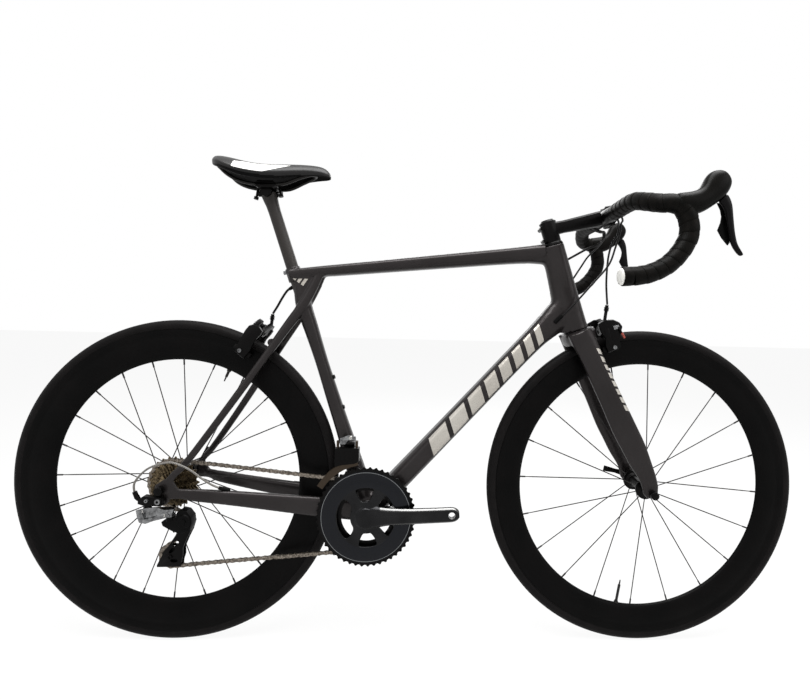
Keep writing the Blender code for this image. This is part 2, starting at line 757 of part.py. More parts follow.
def make_stem():
    start = STEM_AIM + STEM_ALONG * 0.004
    end = BAR_CENTRE - STEM_ALONG * 0.0150
    rings = [
        oval(start, STEM_UP * 0.0150, SIDE * 0.0140, 12, 3.0),
        oval(start.lerp(end, 0.25), STEM_UP * 0.0137, SIDE * 0.0135, 12, 3.0),
        oval(end, STEM_UP * 0.0165, SIDE * 0.0190, 12, 4.0),
    ]
    stem = solid("stem", loft(rings), BLACK_ALLOY)
    fuse(stem, rod(steer_point(STEM_LOW), steer_point(STEM_HIGH), 0.0182, 16))
    for up in (0.568, 0.594):
        ear = steer_point(up, -0.0170)
        fuse(stem, rod(ear - SIDE * 0.0125, ear + SIDE * 0.0125, 0.0052, 8))
    cap = rod(steer_point(STEM_HIGH - 0.0005), steer_point(STEM_HIGH + 0.0045), 0.0165, 16, 0.0130)
    cut(stem, rod(steer_point(0.55), steer_point(0.6025), STEERER_RADIUS + 0.0006, 16))
    fuse(stem, cap)
    cut(stem, drum(BAR_CENTRE, BAR_CLAMP_RADIUS + 0.0005, -0.03, 0.03, 24))
    plane = BAR_CENTRE + STEM_ALONG * 0.0190
    cut(stem, block(plane - STEM_ALONG * 0.0205, plane + STEM_ALONG * 0.03, STEM_UP * 0.03, SIDE * 0.03))
    ride(steering, stem)


def make_faceplate():
    """The front half of the bar clamp, with its four bolts."""
    front = BAR_CENTRE + STEM_ALONG * -0.0009
    faceplate = solid("stem_faceplate", drum(BAR_CENTRE, 0.0205, -0.0195, 0.0195, 24), BLACK_ALLOY)
    for y in (-0.0125, 0.0125):
        for up in (-0.0185, 0.0185):
            bolt = BAR_CENTRE + STEM_UP * up + SIDE * y
            fuse(faceplate, rod(bolt - STEM_ALONG * 0.004, bolt + STEM_ALONG * 0.0120, 0.0040, 8))
    cut(faceplate, drum(BAR_CENTRE, BAR_CLAMP_RADIUS + 0.0005, -0.03, 0.03, 24))
    cut(faceplate, block(front - STEM_ALONG * 0.05, front, STEM_UP * 0.04, SIDE * 0.04))
    ride(steering, faceplate)


BAR_HALF_ROUTE = (
    (0.4055, 0.000, 0.9160),
    (0.4055, 0.060, 0.9160),
    (0.4055, 0.135, 0.9160),
    (0.4120, 0.170, 0.9080),
    (0.4250, 0.200, 0.8980),
    (0.4420, 0.212, 0.8950),
    (0.4570, 0.214, 0.8890),
    (0.4665, 0.215, 0.8740),
    (0.4705, 0.216, 0.8556),
    (0.4689, 0.216, 0.8348),
    (0.4537, 0.216, 0.8077),
    (0.4317, 0.216, 0.7859),
    (0.4037, 0.217, 0.7720),
    (0.3784, 0.218, 0.7665),
    (0.3529, 0.218, 0.7645),
)
BAR_SPACING = 0.0150
TAPE_START = 0.052
PLUG_LENGTH = 0.0050


def bar_half(side):
    """The bar's centre line from the stem to one end, as evenly spaced points."""
    return [Vector((p.x, p.y * side, p.z)) for p in smooth_path(BAR_HALF_ROUTE, BAR_SPACING)]


def make_handlebar():
    right = bar_half(-1)
    left = bar_half(1)
    path = right[::-1] + left[1:]
    radii = []
    for point in path:
        swell = 1.0 - min(max((abs(point.y) - 0.030) / 0.025, 0.0), 1.0)
        bare = BAR_RADIUS if abs(point.y) < TAPE_START else WRAPPED_BAR_RADIUS
        radii.append(bare + (BAR_CLAMP_RADIUS - bare) * swell)
    for end, ahead in ((0, 1), (-1, -2)):
        away = (path[end] - path[ahead]).normalized()
        rim = path[end] + away * 0.0010
        cap = path[end] + away * (0.0010 + PLUG_LENGTH)
        if end == 0:
            path = [cap, rim + away * 0.0002, rim] + path[1:]
            radii = [0.0135, 0.0150, WRAPPED_BAR_RADIUS] + radii[1:]
        else:
            path = path[:-1] + [rim, rim + away * 0.0002, cap]
            radii = radii[:-1] + [WRAPPED_BAR_RADIUS, 0.0150, 0.0135]
    ride(steering, solid("handlebar", pipe(path, radii, 8), BLACK_ALLOY))


TAPE_LOOPS = 19
TAPE_POINTS = 8
TAPE_INNER = 0.0148
TAPE_THICK_LOW = 0.0013
TAPE_THICK_HIGH = 0.0022
TAPE_GAP = 0.0008


def frames_along(path):
    """A pair of directions square to the path at each of its points, turning as little as they can."""
    wide = Vector((0.0, 0.0, 1.0))
    pairs = []
    for i in range(len(path)):
        ahead = (path[min(i + 1, len(path) - 1)] - path[max(i - 1, 0)]).normalized()
        wide = (wide - ahead * wide.dot(ahead)).normalized()
        pairs.append((wide.copy(), ahead.cross(wide)))
    return pairs


def tape_rings(side):
    """Sections of one strip of tape that is wound round the bar from the stem to the plug."""
    path = bar_half(side)
    frames = frames_along(path)
    lengths = [0.0]
    for a, b in zip(path, path[1:]):
        lengths.append(lengths[-1] + (b - a).length)
    total = lengths[-1]
    pitch = (total - TAPE_START) / (TAPE_LOOPS + 1)
    half = (pitch - TAPE_GAP) / 2

    def at(distance, angle, radius):
        distance = min(max(distance, 0.0), total)
        k = min(max(i for i, d in enumerate(lengths) if d <= distance), len(path) - 2)
        share = (distance - lengths[k]) / (lengths[k + 1] - lengths[k])
        centre = path[k].lerp(path[k + 1], share)
        wide = frames[k][0].lerp(frames[k + 1][0], share).normalized()
        deep = frames[k][1].lerp(frames[k + 1][1], share).normalized()
        return centre + (wide * math.cos(angle) + deep * math.sin(angle)) * radius

    rings = []
    for i in range(TAPE_LOOPS * TAPE_POINTS + 1):
        turn = i / TAPE_POINTS
        middle = TAPE_START + pitch * (turn + 0.5)
        angle = math.tau * turn
        rings.append(
            [
                at(middle - half, angle, TAPE_INNER),
                at(middle + half, angle, TAPE_INNER),
                at(middle + half, angle, TAPE_INNER + TAPE_THICK_HIGH),
                at(middle - half, angle, TAPE_INNER + TAPE_THICK_LOW),
            ]
        )
    return rings


def least_gap(rings):
    """The least distance between the strip's edges one turn apart."""
    least = 1.0
    for ring, following in zip(rings, rings[TAPE_POINTS:]):
        for a in (ring[1], ring[2]):
            for b in (following[0], following[3]):
                least = min(least, (a - b).length)
    return least


def make_tape():
    for side, name in ((1, "left"), (-1, "right")):
        rings = tape_rings(side)
        print(f"bar_tape_{name}: least gap between turns {least_gap(rings) * 1000:.2f} mm")
        ride(steering, solid(f"bar_tape_{name}", loft(rings), BAR_TAPE))


HOOD_SECTIONS = (
    (0.4700, 0.9160, 0.4780, 0.8800, 0.0150),
    (0.4914, 0.9215, 0.5030, 0.8860, 0.0152),
    (0.4978, 0.9364, 0.5193, 0.8958, 0.0165),
    (0.5003, 0.9459, 0.5378, 0.9191, 0.0172),
    (0.5097, 0.9529, 0.5456, 0.9354, 0.0150),
    (0.5200, 0.9562, 0.5420, 0.9440, 0.0090),
)
HOOD_Y = 0.2135


def make_hoods():
    """The rubber-covered lever bodies, hollowed for the bar, its tape and the lever."""
    for side, name in ((1, "left"), (-1, "right")):
        hood = solid(f"brake_hood_{name}", mirrored(edges_loft(HOOD_SECTIONS, HOOD_Y), side), HOOD_RUBBER)
        route = [point for point in bar_half(side) if point.x > 0.425 and point.z > 0.82]
        wrapped = TAPE_INNER + TAPE_THICK_HIGH + 0.0016
        cut(hood, pipe(route, [wrapped] * len(route), 12))
        slot = ((0.5125, 0.9225), (0.5520, 0.9300), (0.5600, 0.8900), (0.5125, 0.8750))
        cut(hood, mirrored(prism(slot, 0.2055, 0.2225), side))
        ride(steering, hood)


LEVER_SECTIONS = (
    (0.5345, 0.9175, 0.5240, 0.9110, 0.0045),
    (0.5390, 0.9115, 0.5285, 0.9040, 0.0048),
    (0.5455, 0.8990, 0.5350, 0.8950, 0.0048),
    (0.5478, 0.8787, 0.5380, 0.8775, 0.0046),
    (0.5513, 0.8468, 0.5410, 0.8450, 0.0046),
    (0.5559, 0.8256, 0.5475, 0.8215, 0.0046),
    (0.5620, 0.8150, 0.5555, 0.8105, 0.0046),
    (0.5659, 0.8099, 0.5605, 0.8071, 0.0040),
)
PADDLE_OUTLINE = (
    (0.5320, 0.8990),
    (0.5228, 0.8991),
    (0.5290, 0.8874),
    (0.5315, 0.8755),
    (0.5300, 0.8650),
    (0.5248, 0.8513),
    (0.5325, 0.8382),
    (0.5437, 0.8253),
    (0.5470, 0.8300),
    (0.5440, 0.8500),
    (0.5410, 0.8750),
)


def make_levers():
    for side, name in ((1, "left"), (-1, "right")):
        flip = Vector((1.0, side, 1.0))
        lever_carrier = body(f"brake_lever_{name}_carrier", LEVER_PIVOT * flip)
        blade = edges_loft(LEVER_SECTIONS, 0.2150, 2.4, 8)
        lever = solid(f"brake_lever_{name}", mirrored(blade, side), BLACK_ALLOY)
        ride(lever_carrier, lever)
        ride(steering, lever_carrier)
        paddle_carrier = body(f"shift_paddle_{name}_carrier", PADDLE_PIVOT * flip)
        leaf = prism(PADDLE_OUTLINE, 0.2070, 0.2098)
        paddle = solid(f"shift_paddle_{name}", mirrored(leaf, side), BLACK_PLASTIC)
        ride(paddle_carrier, paddle)
        ride(lever_carrier, paddle_carrier)


# Wheels

WHEEL_STEPS = 40
SPOKE_HALF_WIDTH = 0.0011
SPOKE_HALF_THICK = 0.00055
SPOKE_LAYER = 0.0008
FLANGE_HALF = 0.0016


def make_tyre(end, axle, carrier):
    ring = WHEEL_RADIUS - TYRE_RADIUS
    angles = (103, 52, 0, -52, -103)
    profile = [
        (ring + TYRE_RADIUS * math.cos(math.radians(a)), TYRE_RADIUS * math.sin(math.radians(a)))
        for a in angles
    ]
    profile += [(RIM_TOP + 0.0005, -0.0105), (RIM_TOP + 0.0005, 0.0105)]
    ride(carrier, solid(f"{end}_tyre", turned(profile, axle, WHEEL_STEPS, closed=True), TYRE_RUBBER))


def make_rim(end, axle, inner, valve_angle, valve_length, carrier):
    half = 0.0115
    profile = (
        (RIM_TOP, half),
        (inner + 0.0120, 0.0100),
        (inner, 0.0035),
        (inner, -0.0035),
        (inner + 0.0120, -0.0100),
        (RIM_TOP, -half),
    )
    rim = solid(f"{end}_rim", turned(profile, axle, WHEEL_STEPS, closed=True), RIM_CARBON)
    valve_foot = axle + polar(inner + 0.004, valve_angle)
    valve = rod(valve_foot, axle + polar(inner - valve_length, valve_angle), 0.0030, 6)
    fuse(rim, valve)
    ride(carrier, rim)


def spoke_set(axle, pattern, hub_radius, hub_y, rim_inner):
    """Flat spokes from (rim angle, lead to the hub's hole, layer) rows."""
    reach = rim_inner * math.cos(math.pi / WHEEL_STEPS) - GAP
    bars = []
    for angle, lead, layer in pattern:
        a = axle + polar(hub_radius, angle + lead, hub_y + layer * SPOKE_LAYER)
        b = axle + polar(reach, angle)
        along = (b - a).normalized()
        wide = along.cross(SIDE).normalized()
        bars.append(block(a, b, wide * SPOKE_HALF_WIDTH, along.cross(wide) * SPOKE_HALF_THICK))
    return joined(*bars)


def ring_profile(bore, outer, low, high):
    return ((bore, low), (outer, low), (outer, high), (bore, high))


def make_front_hub():
    flange = 0.0300
    end = FRONT_HUB_HALF - GAP
    profile = (
        (0.0052, -end),
        (0.0090, -end),
        (0.0090, -flange - FLANGE_HALF - GAP),
        (0.0090, -flange + FLANGE_HALF + GAP),
        (0.0105, -flange + FLANGE_HALF + 0.002),
        (0.0105, flange - 0.006),
        (0.0130, flange - FLANGE_HALF),
        (0.0215, flange - FLANGE_HALF),
        (0.0215, flange + FLANGE_HALF),
        (0.0120, flange + FLANGE_HALF),
        (0.0090, flange + 0.008),
        (0.0090, end),
        (0.0052, end),
    )
    hub = solid("front_hub", turned(profile, FRONT_AXLE, 12, closed=True), BLACK_ALLOY)
    far = [(69 - 36 * k, 0, 0) for k in range(10)]
    fuse(hub, spoke_set(FRONT_AXLE, far, 0.0190, flange, FRONT_RIM_INNER))
    near = [(87 - 36 * k, 0, 0) for k in range(10)]
    profile = ring_profile(0.0097, 0.0215, -flange - FLANGE_HALF, -flange + FLANGE_HALF)
    spokes = solid("front_spokes_right", turned(profile, FRONT_AXLE, 12, closed=True), BLACK_ALLOY)
    fuse(spokes, spoke_set(FRONT_AXLE, near, 0.0190, -flange, FRONT_RIM_INNER))
    ride(front_wheel, hub, spokes)


def make_rear_hub():
    left = 0.0340
    right = -0.0165
    end = REAR_HUB_HALF - GAP
    profile = (
        (0.0052, -end),
        (0.0085, -end),
        (0.0085, right - FLANGE_HALF - 0.0015),
        (0.0098, right - FLANGE_HALF - 0.0010),
        (0.0098, right + FLANGE_HALF + GAP),
        (0.0120, right + FLANGE_HALF + 0.002),
        (0.0120, left - 0.006),
        (0.0140, left - FLANGE_HALF),
        (0.0210, left - FLANGE_HALF),
        (0.0210, left + FLANGE_HALF),
        (0.0140, left + FLANGE_HALF),
        (0.0110, left + 0.012),
        (0.0110, end),
        (0.0052, end),
    )
    hub = solid("rear_hub", turned(profile, REAR_AXLE, 12, closed=True), BLACK_ALLOY)
    radial = [(89 + 45 * k, 0, 0) for k in range(8)]
    fuse(hub, spoke_set(REAR_AXLE, radial, 0.0185, left, REAR_RIM_INNER))
    crossed = [(74 + 45 * k, 75, 1) for k in range(8)] + [(59 + 45 * k, -75, -1) for k in range(8)]
    profile = ring_profile(0.0105, 0.0275, right - FLANGE_HALF, right + FLANGE_HALF)
    spokes = solid("rear_spokes_right", turned(profile, REAR_AXLE, 12, closed=True), BLACK_ALLOY)
    fuse(spokes, spoke_set(REAR_AXLE, crossed, 0.0250, right, REAR_RIM_INNER))
    ride(rear_wheel, hub, spokes)


def make_skewer(end, axle, drop_half, carrier):
    """The quick-release rod with its nut on the right and its lever's pivot on the left."""
    reach = SIDE * (drop_half + 0.006)
    skewer = solid(f"{end}_skewer", rod(axle - reach, axle + reach, 0.0030, 8), STEEL)
    nut = drum(axle, 0.0085, -drop_half - 0.0110, -drop_half - 0.0005, 12)
    seat = drum(axle, 0.0085, drop_half + 0.0005, drop_half + 0.0065, 12)
    fuse(skewer, nut, seat)
    ride(carrier, skewer)


def make_skewer_lever(end, axle, drop_half, angle, parent):
    """The curved lever, which swings about its cam across the rod."""
    along = polar(1.0, angle)
    pivot = axle + SIDE * (drop_half + 0.0136)
    carrier = body(f"{end}_skewer_lever_carrier", pivot)
    start = pivot - along * 0.0048
    across = along.cross(SIDE)
    rings = [
        oval(start, across * 0.0060, SIDE * 0.0040, 8, 3.0),
        oval(pivot + along * 0.006, across * 0.0065, SIDE * 0.0050, 8, 3.0),
        oval(pivot + along * 0.022 + SIDE * 0.0020, across * 0.0050, SIDE * 0.0026, 8, 3.0),
        oval(pivot + along * 0.050 - SIDE * 0.0005, across * 0.0070, SIDE * 0.0022, 8, 3.0),
    ]
    ride(carrier, solid(f"{end}_skewer_lever", loft(rings), BLACK_ALLOY))
    ride(parent, carrier)


# Drivetrain


def pitch_radius(teeth):
    return CHAIN_PITCH / (2 * math.sin(math.pi / teeth))


def gear(teeth, centre, y, thickness=0.0018):
    """A toothed disc, before its bore is cut."""
    tip = pitch_radius(teeth) + TOOTH_TIP
    root = pitch_radius(teeth) - 0.0030
    ring = [polar((tip, root)[i % 2], 180 * i / teeth) for i in range(teeth * 2)]
    levels = (y - thickness / 2, y + thickness / 2)
    return loft([[centre + point + SIDE * level for point in ring] for level in levels])


def make_cassette():
    """All sprockets and their spacers as one turned piece."""
    half = 0.0006
    core = 0.0175
    bore = 0.0094
    profile = [(bore, LARGEST_SPROCKET_Y + 0.0018), (core, LARGEST_SPROCKET_Y + 0.0018)]
    for i, teeth in enumerate(CASSETTE_TEETH):
        tip = pitch_radius(teeth) + TOOTH_TIP
        y = LARGEST_SPROCKET_Y - CASSETTE_PITCH * i
        profile += [(tip, y + half), (tip, y - half), (core, y - CASSETTE_PITCH / 2)]
    lowest = profile[-1][1] - 0.0008
    profile += [(core, lowest), (bore, lowest)]
    cassette = solid("cassette", turned(profile, REAR_AXLE, 16, closed=True), CASSETTE_STEEL)
    ride(cassette_body, cassette)


RING_BOLT_CIRCLE = 0.0550
SPIDER_ANGLES = (57, 121, -121, -57)


def ring_bolt(angle):
    return BOTTOM_BRACKET + polar(RING_BOLT_CIRCLE, angle + math.degrees(CRANK_TILT))


def make_chainrings():
    """Both rings and the four bolts that hold them to the spider."""
    rings = solid("chainrings", gear(OUTER_TEETH, BOTTOM_BRACKET, OUTER_RING_Y), BLACK_ALLOY)
    cut(rings, drum(BOTTOM_BRACKET, 0.0600, OUTER_RING_Y - 0.004, OUTER_RING_Y + 0.004, 24))
    inner = gear(INNER_TEETH, BOTTOM_BRACKET, INNER_RING_Y)
    fuse(rings, inner)
    cut(rings, drum(BOTTOM_BRACKET, 0.0500, INNER_RING_Y - 0.003, INNER_RING_Y + 0.003, 24))
    for angle in SPIDER_ANGLES:
        bolt = ring_bolt(angle)
        lug = drum(bolt, 0.0064, OUTER_RING_Y - 0.0013, OUTER_RING_Y + 0.0007, 10)
        pin = drum(bolt, 0.0045, OUTER_RING_Y - 0.0003, INNER_RING_Y + 0.0014, 10)
        fuse(rings, lug, pin)
    ride(crankset, rings)


def crank_arm_shape(side, ahead):
    """One crank arm, pointing along ahead from the bottom bracket."""
    up = SIDE.cross(ahead) * -1.0
    stations = (
        (-0.0210, 0.0505, 0.0135, 0.0058),
        (-0.0100, 0.0508, 0.0215, 0.0062),
        (0.0100, 0.0512, 0.0220, 0.0064),
        (0.0400, 0.0545, 0.0180, 0.0064),
        (0.0900, 0.0610, 0.0160, 0.0064),
        (CRANK_LENGTH - 0.010, 0.0668, 0.0152, 0.0062),
        (CRANK_LENGTH + 0.006, 0.0670, 0.0140, 0.0060),
        (CRANK_LENGTH + 0.0150, 0.0670, 0.0075, 0.0055),
    )
    rings = []
    for along, y, tall, thick in stations:
        centre = BOTTOM_BRACKET + ahead * along + SIDE * y * side
        rings.append(oval(centre, up * tall, SIDE * thick, 12, 3.2))
    return loft(rings)


def make_cranks():
    right = solid("crank_right", crank_arm_shape(-1, CRANK_FORWARD), CRANK_ALLOY)
    inner = INNER_RING_Y - 0.0013
    outer = OUTER_RING_Y + 0.0013
    middle = SIDE * (inner + outer) / 2
    half = SIDE * (inner - outer) / 2
    for angle in SPIDER_ANGLES:
        tip = polar(0.0625, angle + math.degrees(CRANK_TILT))
        across = SIDE.cross(tip).normalized()
        rings = [
            oval(BOTTOM_BRACKET + tip * 0.09 + SIDE * -0.0508, across * 0.0128, SIDE * 0.0049, 8, 3.0),
            oval(BOTTOM_BRACKET + tip * 0.56 + SIDE * -0.0470, across * 0.0095, SIDE * 0.0030, 8, 3.0),
            oval(BOTTOM_BRACKET + tip * 0.73 + middle, across * 0.0085, half, 8, 4.0),
            oval(BOTTOM_BRACKET + tip + middle, across * 0.0070, half, 8, 4.0),
        ]
        fuse(right, loft(rings))
    fuse(right, drum(BOTTOM_BRACKET, 0.0120, -0.0500, 0.0600, 16))
    cut(right, *[drum(ring_bolt(angle), 0.0052, -0.0475, -0.0390, 10) for angle in SPIDER_ANGLES])
    left = solid("crank_left", crank_arm_shape(1, -CRANK_FORWARD), CRANK_ALLOY)
    cut(left, drum(BOTTOM_BRACKET, 0.0126, 0.03, 0.0605, 24))
    for crank, sign, side in ((right, 1, -1), (left, -1, 1)):
        eye = BOTTOM_BRACKET + CRANK_FORWARD * CRANK_LENGTH * sign
        faces = sorted((side * 0.0606, side * PEDAL_FACE))
        fuse(crank, drum(eye, 0.0122, *faces, 16))
        cut(crank, drum(eye, 0.0070, 0.05 * side - 0.03, 0.05 * side + 0.03, 12))
        ride(crankset, crank)


def flat(point):
    return Vector((point.x, point.z))


def belt(circles, spacing):
    """Points round the circles: (place, direction) in the XZ plane, with a y for each."""
    count = len(circles)
    directions = []
    for i, (centre, radius, sense, _) in enumerate(circles):
        other, far_radius, far_sense, _ = circles[(i + 1) % count]
        across = other - centre
        lean = math.asin((far_sense * far_radius - sense * radius) / across.length)
        directions.append(math.atan2(across.y, across.x) - lean)
    legs = []
    for i, (centre, radius, sense, y) in enumerate(circles):
        start = directions[i - 1]
        turn = (directions[i] - start) * sense % math.tau
        legs.append(("arc", turn * radius, centre, radius, sense, start, y, y))
        other, far_radius, far_sense, far_y = circles[(i + 1) % count]
        right = Vector((math.sin(directions[i]), -math.cos(directions[i])))
        a = centre + right * radius * sense
        b = other + right * far_radius * far_sense
        legs.append(("line", (b - a).length, a, b, 0, directions[i], y, far_y))
    total = sum(leg[1] for leg in legs)
    links = round(total / spacing)
    points = []
    for k in range(links):
        goal = total * k / links
        for kind, length, first, second, sense, start, y, far_y in legs:
            if goal <= length:
                break
            goal -= length
        if kind == "arc":
            heading = start + sense * goal / second
            place = first + Vector((math.sin(heading), -math.cos(heading))) * second * sense
        else:
            heading = start
            place = first.lerp(second, goal / length)
        share = goal / length
        points.append((place, heading, y + (far_y - y) * share * share * (3 - 2 * share)))
    return points


SQUARE = ((1, 1), (-1, 1), (-1, -1), (1, -1))
CHAIN_HALF_WIDTH = 0.0024
CHAIN_HALF_HEIGHT = 0.0043


def make_chain():
    ring = pitch_radius(INNER_TEETH)
    sprocket = pitch_radius(CASSETTE_TEETH[CHAIN_SPROCKET])
    pulley = pitch_radius(PULLEY_TEETH)
    circles = (
        (flat(BOTTOM_BRACKET), ring, 1, INNER_RING_Y),
        (flat(REAR_AXLE), sprocket, 1, CHAIN_Y),
        (flat(GUIDE_PULLEY), pulley, -1, CHAIN_Y),
        (flat(TENSION_PULLEY), pulley, 1, CHAIN_Y),
    )
    rings = []
    for place, heading, y in belt(circles, CHAIN_PITCH):
        out = Vector((math.sin(heading), 0.0, -math.cos(heading)))
        centre = Vector((place.x, y, place.y))
        tall = out * CHAIN_HALF_HEIGHT
        wide = SIDE * CHAIN_HALF_WIDTH
        rings.append([centre + tall * p + wide * q for p, q in SQUARE])
    chain = solid("chain", loft(rings, closed=True), CHAIN_STEEL)
    half_gap = 0.0014
    for centre, radius, y, steps in (
        (BOTTOM_BRACKET, ring, INNER_RING_Y, 30),
        (REAR_AXLE, sprocket, CHAIN_Y, 29),
        (GUIDE_PULLEY * Vector((1, 0, 1)), pulley, CHAIN_Y, 16),
        (TENSION_PULLEY * Vector((1, 0, 1)), pulley, CHAIN_Y, 16),
    ):
        clear = (radius + TOOTH_TIP + 0.0004) / math.cos(math.pi / steps)
        cut(chain, drum(centre, clear, y - half_gap, y + half_gap, steps))
    ride(frame_body, chain)


# Rear derailleur

LINK_ALONG = Vector((LINK_FOOT.x - LINK_TOP.x, 0.0, LINK_FOOT.z - LINK_TOP.z)).normalized()
LINK_AXIS = LINK_ALONG.cross(SIDE)
LINK_HALF = 0.0080
LINK_CLEAR = LINK_HALF + 0.0004


KNUCKLE_OUTLINE = (
    (-0.4680, 0.2870),
    (-0.4610, 0.2922),
    (-0.4491, 0.2896),
    (-0.4400, 0.2782),
    (-0.4385, 0.2654),
    (-0.4420, 0.2510),
    (-0.4593, 0.2445),
    (-0.4767, 0.2500),
    (-0.4950, 0.2600),
    (-0.4980, 0.2680),
    (-0.4900, 0.2735),
    (-0.4780, 0.2755),
    (-0.4690, 0.2765),
)


def make_rear_derailleur():
    """The fixed upper body, the swinging link and the lower body that holds the cage."""
    bolt = Vector((-0.4904, -0.0750, 0.3161))
    upper = solid("rear_derailleur_body", drum(bolt, 0.0085, -0.0075, 0.0025, 12), BLACK_ALLOY)
    arm = (
        (-0.4860, 0.3245),
        (-0.5202, 0.3281),
        (-0.5300, 0.3215),
        (-0.5300, 0.3130),
        (-0.5200, 0.3100),
        (-0.4860, 0.3085),
    )
    fuse(upper, prism(arm, -0.0850, -0.0728))
    base = LINK_TOP + LINK_AXIS * LINK_CLEAR
    fuse(upper, rod(base, base + LINK_AXIS * 0.0150, 0.0075, 12))
    ride(frame_body, upper)

    axis = LINK_AXIS * LINK_HALF
    link_vector = LINK_FOOT - LINK_TOP
    across = link_vector.cross(LINK_AXIS).normalized()
    rings = []
    for share, width in ((-0.13, 0.0050), (0.0, 0.0085), (0.5, 0.0095), (1.0, 0.0075), (1.11, 0.0045)):
        centre = LINK_TOP + link_vector * share
        rings.append([centre + across * width * p + axis * q for p, q in SQUARE])
    link = solid("rear_derailleur_link", loft(rings), GREY_ALLOY)
    ride(mech_link, link)

    foot = LINK_FOOT - LINK_AXIS * LINK_CLEAR
    lower = solid("rear_derailleur_knuckle", rod(foot, foot - LINK_AXIS * 0.0100, 0.0080, 12), BLACK_PLASTIC)
    fuse(lower, prism(KNUCKLE_OUTLINE, -0.0600, -0.0390))
    fuse(lower, drum(CAGE_PIVOT * Vector((1, 0, 1)), 0.0110, -0.0400, -0.0352, 12))
    ride(mech_lower, lower)


def cage_outline():
    """The outline of a derailleur cage plate round both pulleys."""
    return (
        (-0.4520, 0.2700),
        (-0.4470, 0.2580),
        (-0.4520, 0.2393),
        (-0.4589, 0.2246),
        (-0.4670, 0.2041),
        (-0.4665, 0.1880),
        (-0.4700, 0.1760),
        (-0.4704, 0.1655),
        (-0.5185, 0.1645),
        (-0.5185, 0.1690),
        (-0.5040, 0.1980),
        (-0.4929, 0.2127),
        (-0.4810, 0.2330),
        (-0.4830, 0.2480),
        (-0.4830, 0.2600),
        (-0.4700, 0.2700),
        (-0.4600, 0.2740),
    )


def make_cage():
    outer_low = -0.0336
    outer_high = -0.0318
    inner_low = -0.0208
    inner_high = -0.0192
    cage = solid("rear_derailleur_cage", prism(cage_outline(), outer_low, outer_high), BLACK_ALLOY)
    fuse(cage, prism(cage_outline(), inner_low, inner_high))
    for pulley in (GUIDE_PULLEY, TENSION_PULLEY):
        centre = pulley * Vector((1, 0, 1))
        fuse(cage, drum(centre, 0.0034, outer_low - 0.0010, inner_high + 0.0010, 10))
    ride(mech_cage, cage)


def make_pulleys():
    for name, centre, carrier in (
        ("guide_pulley", GUIDE_PULLEY, guide_body),
        ("tension_pulley", TENSION_PULLEY, tension_body),
    ):
        flat_centre = centre * Vector((1, 0, 1))
        pulley = solid(name, gear(PULLEY_TEETH, flat_centre, CHAIN_Y, 0.0020), BLACK_PLASTIC)
        cut(pulley, drum(flat_centre, 0.0042, CHAIN_Y - 0.004, CHAIN_Y + 0.004, 12))
        ride(carrier, pulley)


# Front derailleur


def make_front_derailleur():
    mount = seat_axis(0.4150)
    bracket = mount + Vector((0.008, -0.0100, -0.002))
    bracket_end = mount + Vector((0.008, -0.0310, -0.002))
    bracket_block = block(bracket, bracket_end, Vector((0.011, 0, 0)), Vector((0, 0, 0.012)))
    body_piece = solid("front_derailleur_body", bracket_block, BLACK_ALLOY)
    rear_end = CHANGER_PIVOT - Vector((0.014, 0.0, 0.0))
    pin = rod(rear_end, rear_end + Vector((0.030, 0.0, 0.0)), 0.0040, 10)
    arm_foot = Vector((-0.1290, -0.0300, 0.4180))
    arm_end = Vector((-0.1290, -0.0400, 0.4250))
    fuse(body_piece, pin, block(arm_foot, arm_end, Vector((0.007, 0, 0)), Vector((0, 0, 0.004))))
    cut(body_piece, seat_tube_shape(GAP))
    ride(frame_body, body_piece)


def changer_plate(y, low_radius, high_radius, start, stop):
    """A curved plate of the cage that follows the outer chainring."""
    steps = 6
    angles = [start + (stop - start) * i / steps for i in range(steps + 1)]
    inner = [polar(low_radius, angle) for angle in angles]
    outer = [polar(high_radius, angle) for angle in reversed(angles)]
    half = 0.0005
    outline = [BOTTOM_BRACKET + point for point in inner + outer]
    return loft([[point + SIDE * (y + level) for point in outline] for level in (-half, half)])


def make_changer_cage():
    """Two curved plates, their roof and tail, and the ears on the pivot pin."""
    tip = pitch_radius(OUTER_TEETH) + TOOTH_TIP
    outer_y = -0.0447
    inner_y = -0.0318
    outer_plate = changer_plate(outer_y, tip + 0.0020, tip + 0.0150, 100, 149)
    cage = solid("front_derailleur_cage", outer_plate, GREY_ALLOY)
    fuse(cage, changer_plate(inner_y, tip + 0.0020, tip + 0.0150, 100, 149))
    low_edge = [polar(tip + 0.0130, angle) for angle in (98, 105, 112, 119, 125)]
    high_edge = [polar(tip + 0.0155, angle) for angle in (125, 119, 112, 105, 98)]
    roof = []
    for y in (outer_y, inner_y):
        roof.append([BOTTOM_BRACKET + point + SIDE * y for point in low_edge + high_edge])
    fuse(cage, loft(roof))
    tail = BOTTOM_BRACKET + polar(tip + 0.0052, 146.5)
    fuse(cage, rod(tail + SIDE * outer_y, tail + SIDE * inner_y, 0.0018, 8))
    for x, angle in ((-0.0185, 120.5), (0.0205, 101.0)):
        top = CHANGER_PIVOT + Vector((x, 0.0, 0.006))
        foot = BOTTOM_BRACKET + polar(tip + 0.0140, angle)
        foot = Vector((top.x, top.y, foot.z))
        fuse(cage, block(top, foot, Vector((0.0022, 0, 0)), Vector((0, 0.0040, 0))))
    ride(changer_body, cage)


# Seatpost and saddle

RAIL_RADIUS = 0.0035
RAIL_HALF_ROUTE = (
    (-0.4150, 0.0300, 0.9900),
    (-0.3969, 0.0270, 0.9740),
    (-0.3759, 0.0240, 0.9640),
    (-0.3500, 0.0220, 0.9590),
    (-0.3200, 0.0220, 0.9590),
    (-0.2846, 0.0220, 0.9600),
    (-0.2524, 0.0190, 0.9740),
    (-0.2300, 0.0130, 0.9830),
    (-0.2210, 0.0000, 0.9850),
)


